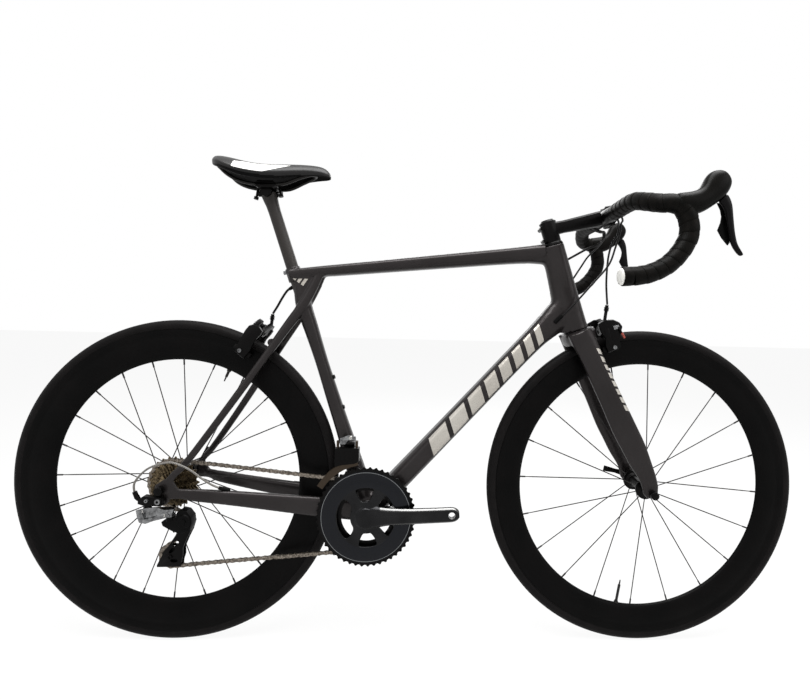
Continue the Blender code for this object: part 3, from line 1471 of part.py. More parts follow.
def rail_route():
    right = [Vector((x, -y, z)) for x, y, z in RAIL_HALF_ROUTE]
    left = [Vector(point) for point in RAIL_HALF_ROUTE[:-1]]
    return smooth_path(right + left[::-1], 0.0130)


def make_seatpost():
    top = Vector((-0.3171, 0.0, 0.9311))
    post = solid("seatpost", rod(seat_axis(0.692), top, SEATPOST_RADIUS, 16), CARBON)
    head = (
        (-0.3425, 0.9400),
        (-0.3356, 0.9264),
        (-0.3221, 0.9220),
        (-0.3003, 0.9305),
        (-0.2889, 0.9400),
        (-0.2880, 0.9640),
        (-0.2960, 0.9665),
        (-0.3380, 0.9665),
        (-0.3430, 0.9640),
    )
    fuse(post, prism(head, -0.0285, 0.0285))
    route = rail_route()
    cut(post, pipe(route, [RAIL_RADIUS + 0.0007] * len(route), 12))
    hollow = ((-0.3330, 0.9500), (-0.2980, 0.9500), (-0.2980, 0.9700), (-0.3330, 0.9700))
    cut(post, prism(hollow, -0.0130, 0.0130))
    ride(seatpost_body, post)


def make_rails():
    route = rail_route()
    data = bpy.data.curves.new("saddle_rails", "CURVE")
    data.dimensions = "3D"
    data.bevel_depth = RAIL_RADIUS
    data.bevel_resolution = 2
    data.use_fill_caps = True
    spline = data.splines.new("POLY")
    spline.points.add(len(route) - 1)
    for place, point in zip(spline.points, route):
        place.co = (*point, 1.0)
    data.materials.append(BLACK_ALLOY)
    rails = bpy.data.objects.new("saddle_rails", data)
    bpy.context.scene.collection.objects.link(rails)
    ride(seatpost_body, rails)


SADDLE_STATIONS = (
    (-0.4330, 0.0200, 1.0165, 1.0050, 0.9990),
    (-0.4280, 0.0340, 1.0180, 1.0020, 0.9950),
    (-0.4190, 0.0480, 1.0185, 0.9980, 0.9890),
    (-0.4050, 0.0610, 1.0160, 0.9920, 0.9800),
    (-0.3850, 0.0690, 1.0125, 0.9840, 0.9700),
    (-0.3600, 0.0690, 1.0090, 0.9790, 0.9630),
    (-0.3350, 0.0620, 1.0070, 0.9780, 0.9610),
    (-0.3100, 0.0520, 1.0070, 0.9800, 0.9630),
    (-0.2850, 0.0410, 1.0078, 0.9840, 0.9680),
    (-0.2600, 0.0315, 1.0082, 0.9880, 0.9740),
    (-0.2350, 0.0245, 1.0073, 0.9900, 0.9780),
    (-0.2130, 0.0205, 1.0040, 0.9890, 0.9800),
    (-0.1980, 0.0160, 0.9970, 0.9860, 0.9800),
    (-0.1910, 0.0080, 0.9900, 0.9850, 0.9810),
)


def saddle_ring(x, half, crown, shoulder, low):
    """A section of the saddle: crowned top, drawn-in skirt and a hollow underside."""
    thick = min(0.0180, (crown - low) * 0.62)
    drop = crown - shoulder
    profile = (
        (0.00, crown - 0.0012),
        (0.16, crown),
        (0.36, crown - drop * 0.07),
        (0.58, crown - drop * 0.22),
        (0.78, crown - drop * 0.48),
        (0.93, crown - drop * 0.80),
        (1.00, shoulder),
        (0.985, (shoulder + low) / 2),
        (0.93, low),
        (0.86, low + 0.0002),
        (0.80, max(low + 0.0030, crown - thick * 1.5)),
        (0.60, crown - thick * 1.10),
        (0.30, crown - thick),
    )
    left = [Vector((x, half * share, z)) for share, z in profile]
    right = [Vector((x, -half * share, z)) for share, z in profile[:0:-1]]
    floor = [Vector((x, 0.0, crown - thick))]
    return left + floor + right


def make_saddle():
    rings = [saddle_ring(*station) for station in SADDLE_STATIONS]
    ride(seatpost_body, solid("saddle", loft(rings), SADDLE_COVER))


# Cables

BRAKE_HOUSING = 0.0050
SHIFT_HOUSING = 0.0040


def make_cables():
    front_brake = cord(
        "front_brake_housing",
        (
            (0.4200, -0.0340, 0.8930),
            (0.4215, -0.0310, 0.8760),
            (0.4120, -0.0250, 0.8560),
            (0.4055, -0.0240, 0.8300),
            (0.4020, -0.0260, 0.8000),
            (0.4003, -0.0285, 0.7700),
            (0.4010, -0.0305, 0.7450),
            (0.4025, -0.0310, 0.7252),
        ),
        BRAKE_HOUSING,
        GREY_HOUSING,
    )
    ride(steering, front_brake)
    upper = (
        (0.4210, 0.0420, 0.8930),
        (0.4190, 0.0400, 0.8780),
        (0.4020, 0.0330, 0.8630),
        (0.3785, 0.0310, 0.8529),
        (0.3540, 0.0310, 0.8390),
        (0.3298, 0.0310, 0.8248),
        (0.3060, 0.0300, 0.8100),
        (0.2890, 0.0245, 0.7990),
    )
    lower = (
        (0.4230, 0.0560, 0.8940),
        (0.4200, 0.0530, 0.8750),
        (0.4050, 0.0430, 0.8580),
        (0.3812, 0.0350, 0.8352),
        (0.3640, 0.0320, 0.8100),
        (0.3465, 0.0310, 0.7831),
        (0.3270, 0.0300, 0.7560),
        (0.3080, 0.0250, 0.7330),
    )
    right = (
        (0.4210, -0.0480, 0.8940),
        (0.4190, -0.0460, 0.8720),
        (0.4124, -0.0420, 0.8445),
        (0.4004, -0.0380, 0.8079),
        (0.3669, -0.0350, 0.7665),
        (0.3355, -0.0335, 0.7295),
        (0.3130, -0.0310, 0.7050),
        (0.3010, -0.0260, 0.6925),
    )
    crossing = (
        cord("rear_brake_housing_front", upper, BRAKE_HOUSING, BLACK_HOUSING),
        cord("shift_housing_left", lower, SHIFT_HOUSING, BLACK_HOUSING),
        cord("shift_housing_right", right, SHIFT_HOUSING, BLACK_HOUSING),
    )
    rear_brake = cord(
        "rear_brake_housing_rear",
        (
            (-0.2765, 0.0000, 0.7400),
            (-0.2850, 0.0060, 0.7310),
            (-0.2945, 0.0150, 0.7195),
            (-0.3050, 0.0240, 0.7050),
            (-0.3130, 0.0300, 0.6950),
            (-0.3160, 0.0310, 0.6900),
        ),
        BRAKE_HOUSING,
        BLACK_HOUSING,
    )
    mech = cord(
        "rear_shift_housing",
        (
            (-0.3900, -0.0590, 0.3385),
            (-0.4010, -0.0640, 0.3460),
            (-0.4170, -0.0720, 0.3610),
            (-0.4340, -0.0760, 0.3760),
            (-0.4560, -0.0780, 0.3880),
            (-0.4790, -0.0785, 0.3923),
            (-0.5152, -0.0785, 0.3801),
            (-0.5395, -0.0785, 0.3543),
            (-0.5400, -0.0785, 0.3330),
            (-0.5335, -0.0785, 0.3220),
        ),
        SHIFT_HOUSING,
        GREY_HOUSING,
    )
    ride(frame_body, *crossing, rear_brake, mech)


# Assembly

make_frame_tubes()
make_stays()
make_fork()
make_headset_cover()
make_stem()
make_faceplate()
make_handlebar()
make_tape()
make_hoods()
make_levers()
make_brakes()

WHEEL_ENDS = (("front", FRONT_AXLE, front_wheel), ("rear", REAR_AXLE, rear_wheel))
for wheel_end, wheel_axle, wheel_carrier in WHEEL_ENDS:
    make_tyre(wheel_end, wheel_axle, wheel_carrier)
make_rim("front", FRONT_AXLE, FRONT_RIM_INNER, -99.8, 0.049, front_wheel)
make_rim("rear", REAR_AXLE, REAR_RIM_INNER, 66.8, 0.026, rear_wheel)
make_front_hub()
make_rear_hub()
make_skewer("front", FRONT_AXLE, 0.0640, steering)
make_skewer("rear", REAR_AXLE, DROPOUT_OUTER + 0.0003, frame_body)
make_skewer_lever("front", FRONT_AXLE, 0.0640, 167, steering)
make_skewer_lever("rear", REAR_AXLE, DROPOUT_OUTER + 0.0003, 62, frame_body)

make_cassette()
make_chainrings()
make_cranks()
make_chain()
make_rear_derailleur()
make_cage()
make_pulleys()
make_front_derailleur()
make_changer_cage()
make_seatpost()
make_rails()
make_saddle()
make_cables()

ride(frame_body, steering, rear_wheel, cassette_body, crankset, mech_link, changer_body, seatpost_body)
ride(steering, front_wheel)
ride(mech_link, mech_lower)
ride(mech_lower, mech_cage)
ride(mech_cage, guide_body, tension_body)
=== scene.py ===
# %% [markdown]
# # Dressing a road bicycle
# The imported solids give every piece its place. This lesson models the pieces that show, one at a
# time, gives each its real finish, and lets it ride on the body that moves it.

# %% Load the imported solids
import math

import bpy
from mathutils import Matrix, Vector


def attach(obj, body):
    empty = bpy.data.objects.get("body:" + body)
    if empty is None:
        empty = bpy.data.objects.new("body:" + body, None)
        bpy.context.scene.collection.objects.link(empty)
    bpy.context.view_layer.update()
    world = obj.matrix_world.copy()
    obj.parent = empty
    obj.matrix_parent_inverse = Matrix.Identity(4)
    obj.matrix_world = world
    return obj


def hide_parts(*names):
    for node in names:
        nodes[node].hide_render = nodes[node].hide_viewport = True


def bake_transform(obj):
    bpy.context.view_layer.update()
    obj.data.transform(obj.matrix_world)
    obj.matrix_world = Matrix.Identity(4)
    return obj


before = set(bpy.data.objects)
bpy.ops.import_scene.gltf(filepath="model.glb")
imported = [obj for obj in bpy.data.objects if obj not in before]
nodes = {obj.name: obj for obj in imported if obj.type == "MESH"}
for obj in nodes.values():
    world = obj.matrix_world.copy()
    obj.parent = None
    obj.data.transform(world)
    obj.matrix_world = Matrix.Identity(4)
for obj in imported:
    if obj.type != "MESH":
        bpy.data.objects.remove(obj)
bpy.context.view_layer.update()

print("solids loaded:", len(nodes))

# %% [markdown]
# ## The camera
# The photograph was taken from about a metre away with a wide lens, level with the upper part of the
# frame. Its place and turn were worked out from the outlines of both wheels. A lens is given in
# millimetres for a 36 mm wide picture, and the shift moves the picture without turning the camera.

# %% Camera
CAMERA_PLACE = Vector((0.0144, -1.0191, 0.6741))
YAW = -0.0354
PITCH = -0.0010
ROLL = 0.0242
PICTURE_WIDTH_MM = 36.0
LENS_MM = 21.003
SHIFT_X = -0.0434
SHIFT_Y = -0.0305
NEAREST = 0.05

forward = Vector((-math.sin(YAW) * math.cos(PITCH), math.cos(YAW) * math.cos(PITCH), math.sin(PITCH)))
level_right = Vector((math.cos(YAW), math.sin(YAW), 0.0))
level_up = level_right.cross(forward)
right = level_right * math.cos(ROLL) + level_up * math.sin(ROLL)
up = level_up * math.cos(ROLL) - level_right * math.sin(ROLL)

camera_data = bpy.data.cameras.new("photo_camera")
camera_data.sensor_width = PICTURE_WIDTH_MM
camera_data.lens = LENS_MM
camera_data.shift_x = SHIFT_X
camera_data.shift_y = SHIFT_Y
camera_data.clip_start = NEAREST
camera = bpy.data.objects.new("photo_camera", camera_data)
bpy.context.scene.collection.objects.link(camera)
turn = Matrix((right, up, -forward)).transposed().to_4x4()
camera.matrix_world = Matrix.Translation(CAMERA_PLACE) @ turn
bpy.context.scene.camera = camera
bpy.context.scene.view_settings.view_transform = "Standard"
print("camera looks along", [round(value, 3) for value in forward])

# %% [markdown]
# ## Colours and nodes
# Colours are written as sRGB hex, as a colour picker shows them, and turned to the linear values
# that shaders add up. One small function adds a node, sets its values and links its inputs. The
# patterns after it are what real surfaces have: blotches, uneven gloss and fine bumps.

# %% Colours and nodes
def linear(colour):
    """A hex colour as linear red, green, blue and alpha."""
    values = [int(colour[i:i + 2], 16) / 255 for i in (1, 3, 5)]
    lit = [v / 12.92 if v <= 0.04045 else ((v + 0.055) / 1.055) ** 2.4 for v in values]
    return (*lit, 1.0)


def add_node(owner, kind, inputs=None, **settings):
    """Adds a node; an input is a plain value or another node's output."""
    tree = owner.node_tree
    node = tree.nodes.new(kind)
    for key, value in settings.items():
        setattr(node, key, value)
    for key, value in (inputs or {}).items():
        if isinstance(value, bpy.types.NodeSocket):
            tree.links.new(value, node.inputs[key])
        else:
            node.inputs[key].default_value = value
    return node


def shader_of(material):
    return material.node_tree.nodes["Principled BSDF"]


def new_material(name, **sockets):
    """A material whose shader's own sockets hold the plain values."""
    material = bpy.data.materials.new(name)
    material.use_nodes = True
    for key, value in sockets.items():
        shader_of(material).inputs[key.replace("_", " ")].default_value = value
    return material


def feed(material, output, socket):
    """Leads a node's output into one of the shader's own sockets."""
    material.node_tree.links.new(output, shader_of(material).inputs[socket])


print("black in linear light:", linear("#000000"))

# %% [markdown]
# ## Patterns of real surfaces
# No real surface has one flat colour and one gloss. Three patterns do for all of them: blotches of two
# near colours, an uneven gloss, and fine bumps. All are worked out from the place on the object, so
# their scale is real and they need no unwrapping.

# %% Patterns of real surfaces
def object_place(material):
    return add_node(material, "ShaderNodeTexCoord").outputs["Object"]


def grain(material, per_metre, detail=2.0):
    """Noise at a real scale: 900 blotches to the metre are about 1.1 mm each."""
    inputs = {"Vector": object_place(material), "Scale": per_metre, "Detail": detail}
    return add_node(material, "ShaderNodeTexNoise", inputs).outputs["Fac"]


def blotches(material, per_metre, detail, low=0.0, high=1.0):
    """Noise lies mostly between 0.3 and 0.7, so that range is spread over the one wanted."""
    noise = grain(material, per_metre, detail)
    inputs = {"Value": noise, "From Min": 0.3, "From Max": 0.7, "To Min": low, "To Max": high}
    return add_node(material, "ShaderNodeMapRange", inputs).outputs["Result"]


def mix(material, share, first, second):
    """From the first colour to the second, each a hex colour or a node's output."""
    colours = [linear(c) if isinstance(c, str) else c for c in (first, second)]
    inputs = {0: share, 6: colours[0], 7: colours[1]}
    return add_node(material, "ShaderNodeMix", inputs, data_type="RGBA").outputs[2]


def mottle(material, per_metre, detail, dark, pale):
    """Blotches of two near colours, as no real surface is one flat colour."""
    feed(material, mix(material, blotches(material, per_metre, detail), dark, pale), "Base Color")


def vary_gloss(material, per_metre, detail, low, high):
    feed(material, blotches(material, per_metre, detail, low, high), "Roughness")


def raise_bumps(material, per_metre, detail, strength, depth):
    inputs = {"Height": grain(material, per_metre, detail), "Strength": strength, "Distance": depth}
    feed(material, add_node(material, "ShaderNodeBump", inputs).outputs["Normal"], "Normal")


print("a mid grey in linear light:", round(linear("#808080")[0], 3))

# %% [markdown]
# ## Light and floor
# Daylight through a big window is soft, so broad lamps stand above and on both sides. The floor and
# the world look white to the camera and in mirrors, and the floor still takes a faint shadow.

# %% Light and floor
FLOOR_SIZE = 40.0
FLOOR_DROP = 0.0005
FLOOR_GLOW = 1.02
FLOOR_SHARE = 0.90
WORLD_LIGHT = 0.20


def seen_by(owner, *rays):
    """1 for the named kinds of ray, 0 for all others."""
    path = add_node(owner, "ShaderNodeLightPath").outputs
    seen = 0.0
    for ray in rays:
        seen = add_node(owner, "ShaderNodeMath", {0: seen, 1: path[ray]}, operation="MAXIMUM").outputs[0]
    return seen


# A painted studio floor: matt and nearly white, with a glow that only the camera sees.
floor_white = new_material("pale_studio_floor", Base_Color=linear("#efefed"), Roughness=0.9)
seen = seen_by(floor_white, "Is Camera Ray", "Is Glossy Ray")
share = add_node(floor_white, "ShaderNodeMath", {0: seen, 1: FLOOR_SHARE}, operation="MULTIPLY").outputs[0]
glow = add_node(floor_white, "ShaderNodeEmission", {"Color": (1, 1, 1, 1), "Strength": FLOOR_GLOW})
faces = {0: share, 1: shader_of(floor_white).outputs[0], 2: glow.outputs[0]}
face = add_node(floor_white, "ShaderNodeMixShader", faces).outputs[0]
floor_white.node_tree.links.new(face, floor_white.node_tree.nodes["Material Output"].inputs["Surface"])

bpy.ops.object.select_all(action="DESELECT")
bpy.ops.mesh.primitive_plane_add(size=FLOOR_SIZE, location=(0.0, 0.0, -FLOOR_DROP))
floor = bpy.context.active_object
floor.name = "studio_floor"
floor.data.materials.append(floor_white)

world = bpy.data.worlds.new("white_studio")
world.use_nodes = True
bpy.context.scene.world = world
seen = seen_by(world, "Is Camera Ray", "Is Glossy Ray", "Is Transmission Ray")
soft = world.node_tree.nodes["Background"]
soft.inputs["Color"].default_value = (1, 1, 1, 1)
soft.inputs["Strength"].default_value = WORLD_LIGHT
white = add_node(world, "ShaderNodeBackground", {"Color": (1, 1, 1, 1), "Strength": 1.0})
sky = add_node(world, "ShaderNodeMixShader", {0: seen, 1: soft.outputs[0], 2: white.outputs[0]}).outputs[0]
world.node_tree.links.new(sky, world.node_tree.nodes["World Output"].inputs["Surface"])
print("floor in metres:", FLOOR_SIZE, "world light:", WORLD_LIGHT)

# %% [markdown]
# ## Lamps
# One large soft box overhead gives the long light along every tube. Weaker ones in front and behind
# keep the dark side readable. Each turns to its aim, as a lamp on a stand does.

# %% Lamps
LAMPS = (
    # name, place, aim, width and height, watts
    ("overhead_soft_box", (0.2, -0.5, 2.8), (0.0, 0.0, 0.5), (3.0, 1.5), 150),
    ("front_left_soft_box", (-1.9, -2.4, 1.7), (0.0, 0.0, 0.5), (1.4, 1.4), 6),
    ("front_right_soft_box", (2.3, -1.7, 1.9), (0.3, 0.0, 0.6), (1.2, 1.2), 9),
    ("back_soft_box", (0.6, 2.4, 2.0), (0.0, 0.0, 0.5), (2.4, 1.2), 26),
)
for name, place, aim, size, watts in LAMPS:
    data = bpy.data.lights.new(name, "AREA")
    data.shape = "RECTANGLE"
    data.size, data.size_y = size
    data.energy = watts
    lamp = bpy.data.objects.new(name, data)
    bpy.context.scene.collection.objects.link(lamp)
    lamp.location = place
    lamp.rotation_euler = (Vector(aim) - Vector(place)).to_track_quat("-Z", "Y").to_euler()
    lamp.visible_camera = False
print("lamps:", len(LAMPS))

# %% [markdown]
# ## Satin frame paint
# The frame is moulded carbon under satin anthracite paint with a fine metal flake. Such paint is
# partly metallic, its gloss is soft, and the spray leaves a very slight ripple. Plain slanted bars in
# champagne silver are the only trim. They could be a painted picture, but a mask worked out from the
# place along the tube stays sharp at any size.

# %% Masks for the bars
def along_tube(material, foot, way):
    """Two values in the bicycle's middle plane: the place along a tube and across it."""
    length = Vector((way[0], 0.0, way[1])).normalized()
    across = Vector((-length.z, 0.0, length.x))
    inputs = {0: object_place(material), 1: (foot[0], 0.0, foot[1])}
    from_foot = add_node(material, "ShaderNodeVectorMath", inputs, operation="SUBTRACT").outputs[0]
    return [
        add_node(
            material, "ShaderNodeVectorMath", {0: from_foot, 1: v}, operation="DOT_PRODUCT"
        ).outputs["Value"]
        for v in (length, across)
    ]


def inside(material, *limits):
    """1 where every value lies between its low and high limit."""
    mask = 1.0
    for value, low, high in limits:
        inputs = {0: value, 1: (low + high) / 2, 2: (high - low) / 2}
        holds = add_node(material, "ShaderNodeMath", inputs, operation="COMPARE").outputs[0]
        mask = add_node(material, "ShaderNodeMath", {0: holds, 1: mask}, operation="MULTIPLY").outputs[0]
    return mask


def slanted_bars(material, foot, way, slant, bars, low, high):
    """A mask of bars across a tube: each bar is (start, length) along it."""
    length, across = along_tube(material, foot, way)
    inputs = {0: across, 1: slant, 2: length}
    leaning = add_node(material, "ShaderNodeMath", inputs, operation="MULTIPLY_ADD").outputs[0]
    mask = 0.0
    for start, size in bars:
        bar = inside(material, (leaning, start, start + size), (across, low, high))
        mask = add_node(material, "ShaderNodeMath", {0: mask, 1: bar}, operation="MAXIMUM").outputs[0]
    return mask


DOWN_TUBE_FOOT = (-0.18654, 0.17239)
DOWN_TUBE_WAY = (0.6787, 0.7344)
DOWN_TUBE_SLANT = -0.55
DOWN_TUBE_BARS = (
    (0.330, 0.050), (0.392, 0.044), (0.448, 0.038), (0.498, 0.033),
    (0.543, 0.028), (0.583, 0.024), (0.619, 0.020), (0.651, 0.016),
)
SEAT_PANEL_CORNER = (-0.2290, 0.7655)
SEAT_PANEL_WAY = (-0.83, 0.55)
SEAT_BARS = [(0.0102 * k, 0.0062) for k in range(3)]


def frame_bars(material):
    """Bars up the down tube, and three small ones on the panel behind the seat tube."""
    tube = slanted_bars(
        material, DOWN_TUBE_FOOT, DOWN_TUBE_WAY, DOWN_TUBE_SLANT, DOWN_TUBE_BARS, -0.0160, 0.0175
    )
    panel = slanted_bars(material, SEAT_PANEL_CORNER, SEAT_PANEL_WAY, 0.0, SEAT_BARS, -0.06, 0.02)
    place = add_node(material, "ShaderNodeSeparateXYZ", {0: object_place(material)}).outputs
    side = add_node(material, "ShaderNodeMath", {0: place["Y"]}, operation="ABSOLUTE").outputs[0]
    patch = inside(material, (place["Z"], 0.7280, 0.7640), (side, 0.0075, 0.05))
    panel = add_node(material, "ShaderNodeMath", {0: panel, 1: patch}, operation="MULTIPLY").outputs[0]
    return add_node(material, "ShaderNodeMath", {0: tube, 1: panel}, operation="MAXIMUM").outputs[0]


FORK_TOP = (0.3777, 0.6378)
FORK_WAY = (0.0692, -0.1408)
FORK_SLANT = -0.75
FORK_BARS = [(0.006 + 0.0185 * k, 0.0125) for k in range(8)]


def fork_bars(material):
    """The same bars, smaller, down the fork's legs."""
    return slanted_bars(material, FORK_TOP, FORK_WAY, FORK_SLANT, FORK_BARS, -0.0050, 0.0030)


print("bars on the down tube and on the fork:", len(DOWN_TUBE_BARS), len(FORK_BARS))

# %% [markdown]
# ## The paint itself
# Both paints are mixed in one function, because frame and fork are sprayed with one paint and differ
# only in where their bars lie.

# %% Paint
def satin_paint(name, bars):
    """Sprayed flake paint: the flake is drawn at about a millimetre, coarser than it is, to show."""
    sockets = {"Metallic": 0.6, "Specular_IOR_Level": 0.12, "Coat_Weight": 0.14, "Coat_Roughness": 0.12}
    paint = new_material(name, **sockets)
    tone = blotches(paint, 9.0, 2.0)
    base = mix(paint, tone, "#252222", "#2c2929")
    silver = mix(paint, tone, "#b7b3ac", "#a9a49c")
    feed(paint, mix(paint, bars(paint), base, silver), "Base Color")
    vary_gloss(paint, 900.0, 3.0, 0.24, 0.48)
    raise_bumps(paint, 260.0, 2.0, 0.04, 0.0004)
    return paint


frame_paint = satin_paint("satin_anthracite_flake_paint", frame_bars)
fork_paint = satin_paint("satin_anthracite_fork_paint", fork_bars)
print("nodes in the frame's paint:", len(frame_paint.node_tree.nodes))

# %% [markdown]
# ## Modelling helpers
# Operators act on whatever is selected, so each helper clears the selection first. Tubes are made as
# by hand: rings are drawn at their stations, bridged and closed with a face at each end.

# %% Selection, modifiers and rings
def pick(*pieces):
    """Selects these objects and nothing else, with the first one active."""
    bpy.ops.object.select_all(action="DESELECT")
    for piece in pieces:
        piece.select_set(True)
    bpy.context.view_layer.objects.active = pieces[0]


def edit(piece, select="SELECT"):
    pick(piece)
    bpy.ops.object.mode_set(mode="EDIT")
    bpy.ops.mesh.select_all(action=select)


def leave():
    bpy.ops.object.mode_set(mode="OBJECT")


def draw(name, points, edges=(), faces=()):
    """Points, edges or faces, as the start of a piece."""
    data = bpy.data.meshes.new(name)
    data.from_pydata([tuple(p) for p in points], list(edges), list(faces))
    piece = bpy.data.objects.new(name, data)
    bpy.context.scene.collection.objects.link(piece)
    return piece


def modify(piece, kind, **settings):
    """Adds a modifier and applies it at once."""
    pick(piece)
    step = piece.modifiers.new(kind.title(), kind)
    for key, value in settings.items():
        setattr(step, key, value)
    bpy.ops.object.modifier_apply(modifier=step.name)
    return piece


def skin(name, rings, closed=False):
    """Bridges rings of equal counts into a tube."""
    count = len(rings[0])
    points = [p for ring in rings for p in ring]
    pairs = list(range(len(rings) - 1)) + ([-1] if closed else [])
    faces = []
    for k in pairs:
        a = (k % len(rings)) * count
        b = ((k + 1) % len(rings)) * count
        faces += [(a + i, a + (i + 1) % count, b + (i + 1) % count, b + i) for i in range(count)]
    if not closed:
        last = (len(rings) - 1) * count
        faces += [tuple(range(count)), tuple(range(last, last + count))]
    piece = draw(name, points, faces=faces)
    edit(piece)
    bpy.ops.mesh.normals_make_consistent(inside=False)
    leave()
    return piece


def join(name, *pieces):
    pick(*pieces)
    if len(pieces) > 1:
        bpy.ops.object.join()
    pieces[0].name = name
    return pieces[0]


def dress(piece, material, body, slot, replaces=(), angle=40):
    """Gives a finished piece its shading, material and body; its slot is not used."""
    pick(piece)
    bpy.ops.object.shade_smooth_by_angle(angle=math.radians(angle))
    piece.data.materials.clear()
    piece.data.materials.append(material)
    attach(piece, body)
    if replaces:
        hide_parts(*replaces)
    return piece


print("angle that stays smooth unless told otherwise, in degrees:", dress.__defaults__[-1])

# %% [markdown]
# ## Directions and ovals
# The bicycle looks along X, so Y points to its left side. Points on wheels and rings are given by
# angle and radius, and an oval with a higher power is squarer, as moulded parts are.

# %% Directions and ovals
SIDE = Vector((0.0, 1.0, 0.0))


def polar(radius, degrees, y=0.0):
    """A point round the Y axis; the angle turns from forward to up."""
    angle = math.radians(degrees)
    return Vector((radius * math.cos(angle), y, radius * math.sin(angle)))


def oval(centre, wide, deep, count=24, power=2.0):
    """A superellipse: power 2 is an ellipse, more is squarer."""
    ring = []
    for i in range(count):
        c = math.cos(math.tau * i / count)
        s = math.sin(math.tau * i / count)
        a = math.copysign(abs(c) ** (2 / power), c)
        b = math.copysign(abs(s) ** (2 / power), s)
        ring.append(centre + wide * a + deep * b)
    return ring


print("one share of a full circle:", round(math.tau / 24, 4))

# %% [markdown]
# ## Rows of measured sections
# A tube is measured at a few stations only. A smooth curve through them, taken at even steps, gives
# the rings between, for places and sizes alike.

# %% Smooth rows
def smooth_rows(rows, spacing):
    """Rows of numbers, x, y and z first, spaced evenly on a smooth curve through the given ones."""
    ends = [[2 * a - b for a, b in zip(rows[0], rows[1])]] + [list(row) for row in rows]
    ends.append([2 * a - b for a, b in zip(rows[-1], rows[-2])])
    fine = []
    for p, a, b, q in zip(ends, ends[1:], ends[2:], ends[3:]):
        for i in range(20):
            t = i / 20
            curve = []
            for u, v, w, x in zip(p, a, b, q):
                bend = (w - u) * t + (2 * u - 5 * v + 4 * w - x) * t * t + (3 * v - u - 3 * w + x) * t ** 3
                curve.append(0.5 * (2 * v + bend))
            fine.append(curve)
    fine.append(rows[-1])
    reach = [0.0]
    for a, b in zip(fine, fine[1:]):
        reach.append(reach[-1] + (Vector(b[:3]) - Vector(a[:3])).length)
    count = max(1, round(reach[-1] / spacing))
    picked = []
    k = 0
    for i in range(count + 1):
        goal = reach[-1] * i / count
        while k < len(fine) - 2 and reach[k + 1] < goal:
            k += 1
        share = (goal - reach[k]) / max(reach[k + 1] - reach[k], 1e-9)
        picked.append([a + (b - a) * share for a, b in zip(fine[k], fine[k + 1])])
    return picked


print("rings on 100 mm at 20 mm:", len(smooth_rows([(0, 0, 0), (0.1, 0, 0)], 0.02)))

# %% [markdown]
# ## The frame
# A carbon frame is laid up as tubes that flow into each other. Each tube is drawn as a row of
# sections with flat sides and bevelled edges, all are joined, and a fine voxel remesh fuses them
# into one skin. Smoothing near each joint gives the fillets.

# %% Sections of the frame's tubes
BEVELLED = [(1.0, 0.0), (1.0, 0.48), (0.84, 0.76), (0.62, 0.96), (0.30, 1.0)]
BEVELLED += [(0.0, 1.0)] + [(-d, w) for d, w in reversed(BEVELLED[1:])]
BEVELLED += [(-1.0, 0.0)] + [(d, -w) for d, w in reversed(BEVELLED[1:])]


def frame_tube(name, rows, squareness, spacing=0.012):
    """A tube through (x, y, z, half depth, half width), from round to bevelled."""
    rows = smooth_rows(rows, spacing)
    centres = [Vector(r[:3]) for r in rows]
    rings = []
    for i, row in enumerate(rows):
        along = (centres[min(i + 1, len(rows) - 1)] - centres[max(i - 1, 0)]).normalized()
        out = SIDE.cross(along).normalized()
        across = along.cross(out)
        ring = []
        for k, (d, w) in enumerate(BEVELLED):
            angle = math.tau * k / len(BEVELLED)
            d = d * squareness + math.cos(angle) * (1 - squareness)
            w = w * squareness + math.sin(angle) * (1 - squareness)
            ring.append(centres[i] + out * row[3] * d + across * row[4] * w)
        rings.append(ring)
    return skin(name, rings)


WHEELBASE = 0.989
WHEEL_RADIUS = 0.3355
REAR_AXLE = Vector((-WHEELBASE / 2, 0.0, WHEEL_RADIUS))
FRONT_AXLE = Vector((WHEELBASE / 2, 0.0, WHEEL_RADIUS))
BOTTOM_BRACKET = Vector((-0.0937, 0.0, 0.2774))
HEAD_ANGLE = math.radians(73.0)
STEER_UP = Vector((-math.cos(HEAD_ANGLE), 0.0, math.sin(HEAD_ANGLE)))
STEER_FORWARD = Vector((math.sin(HEAD_ANGLE), 0.0, math.cos(HEAD_ANGLE)))
STEER_FOOT = FRONT_AXLE - STEER_FORWARD * 0.0415
SEAT_ANGLE = math.radians(71.2)
SEAT_UP = Vector((-math.cos(SEAT_ANGLE), 0.0, math.sin(SEAT_ANGLE)))


def steer_point(along, ahead=0.0, y=0.0):
    return STEER_FOOT + STEER_UP * along + STEER_FORWARD * ahead + SIDE * y


def seat_axis(z):
    return BOTTOM_BRACKET + SEAT_UP * ((z - BOTTOM_BRACKET.z) / SEAT_UP.z)


def on_down_tube(along, out=0.0):
    (foot_x, foot_z), (way_x, way_z) = DOWN_TUBE_FOOT, DOWN_TUBE_WAY
    return (foot_x + way_x * along + way_z * out, 0.0, foot_z + way_z * along - way_x * out)


print("wheelbase in mm:", round(WHEELBASE * 1000))

# %% [markdown]
# ## Turned, flat and round pieces
# A lathe, a saw and a drawn rod make most small parts. So a profile is spun round an axis, an outline
# is extruded, and a cone is laid between two points.

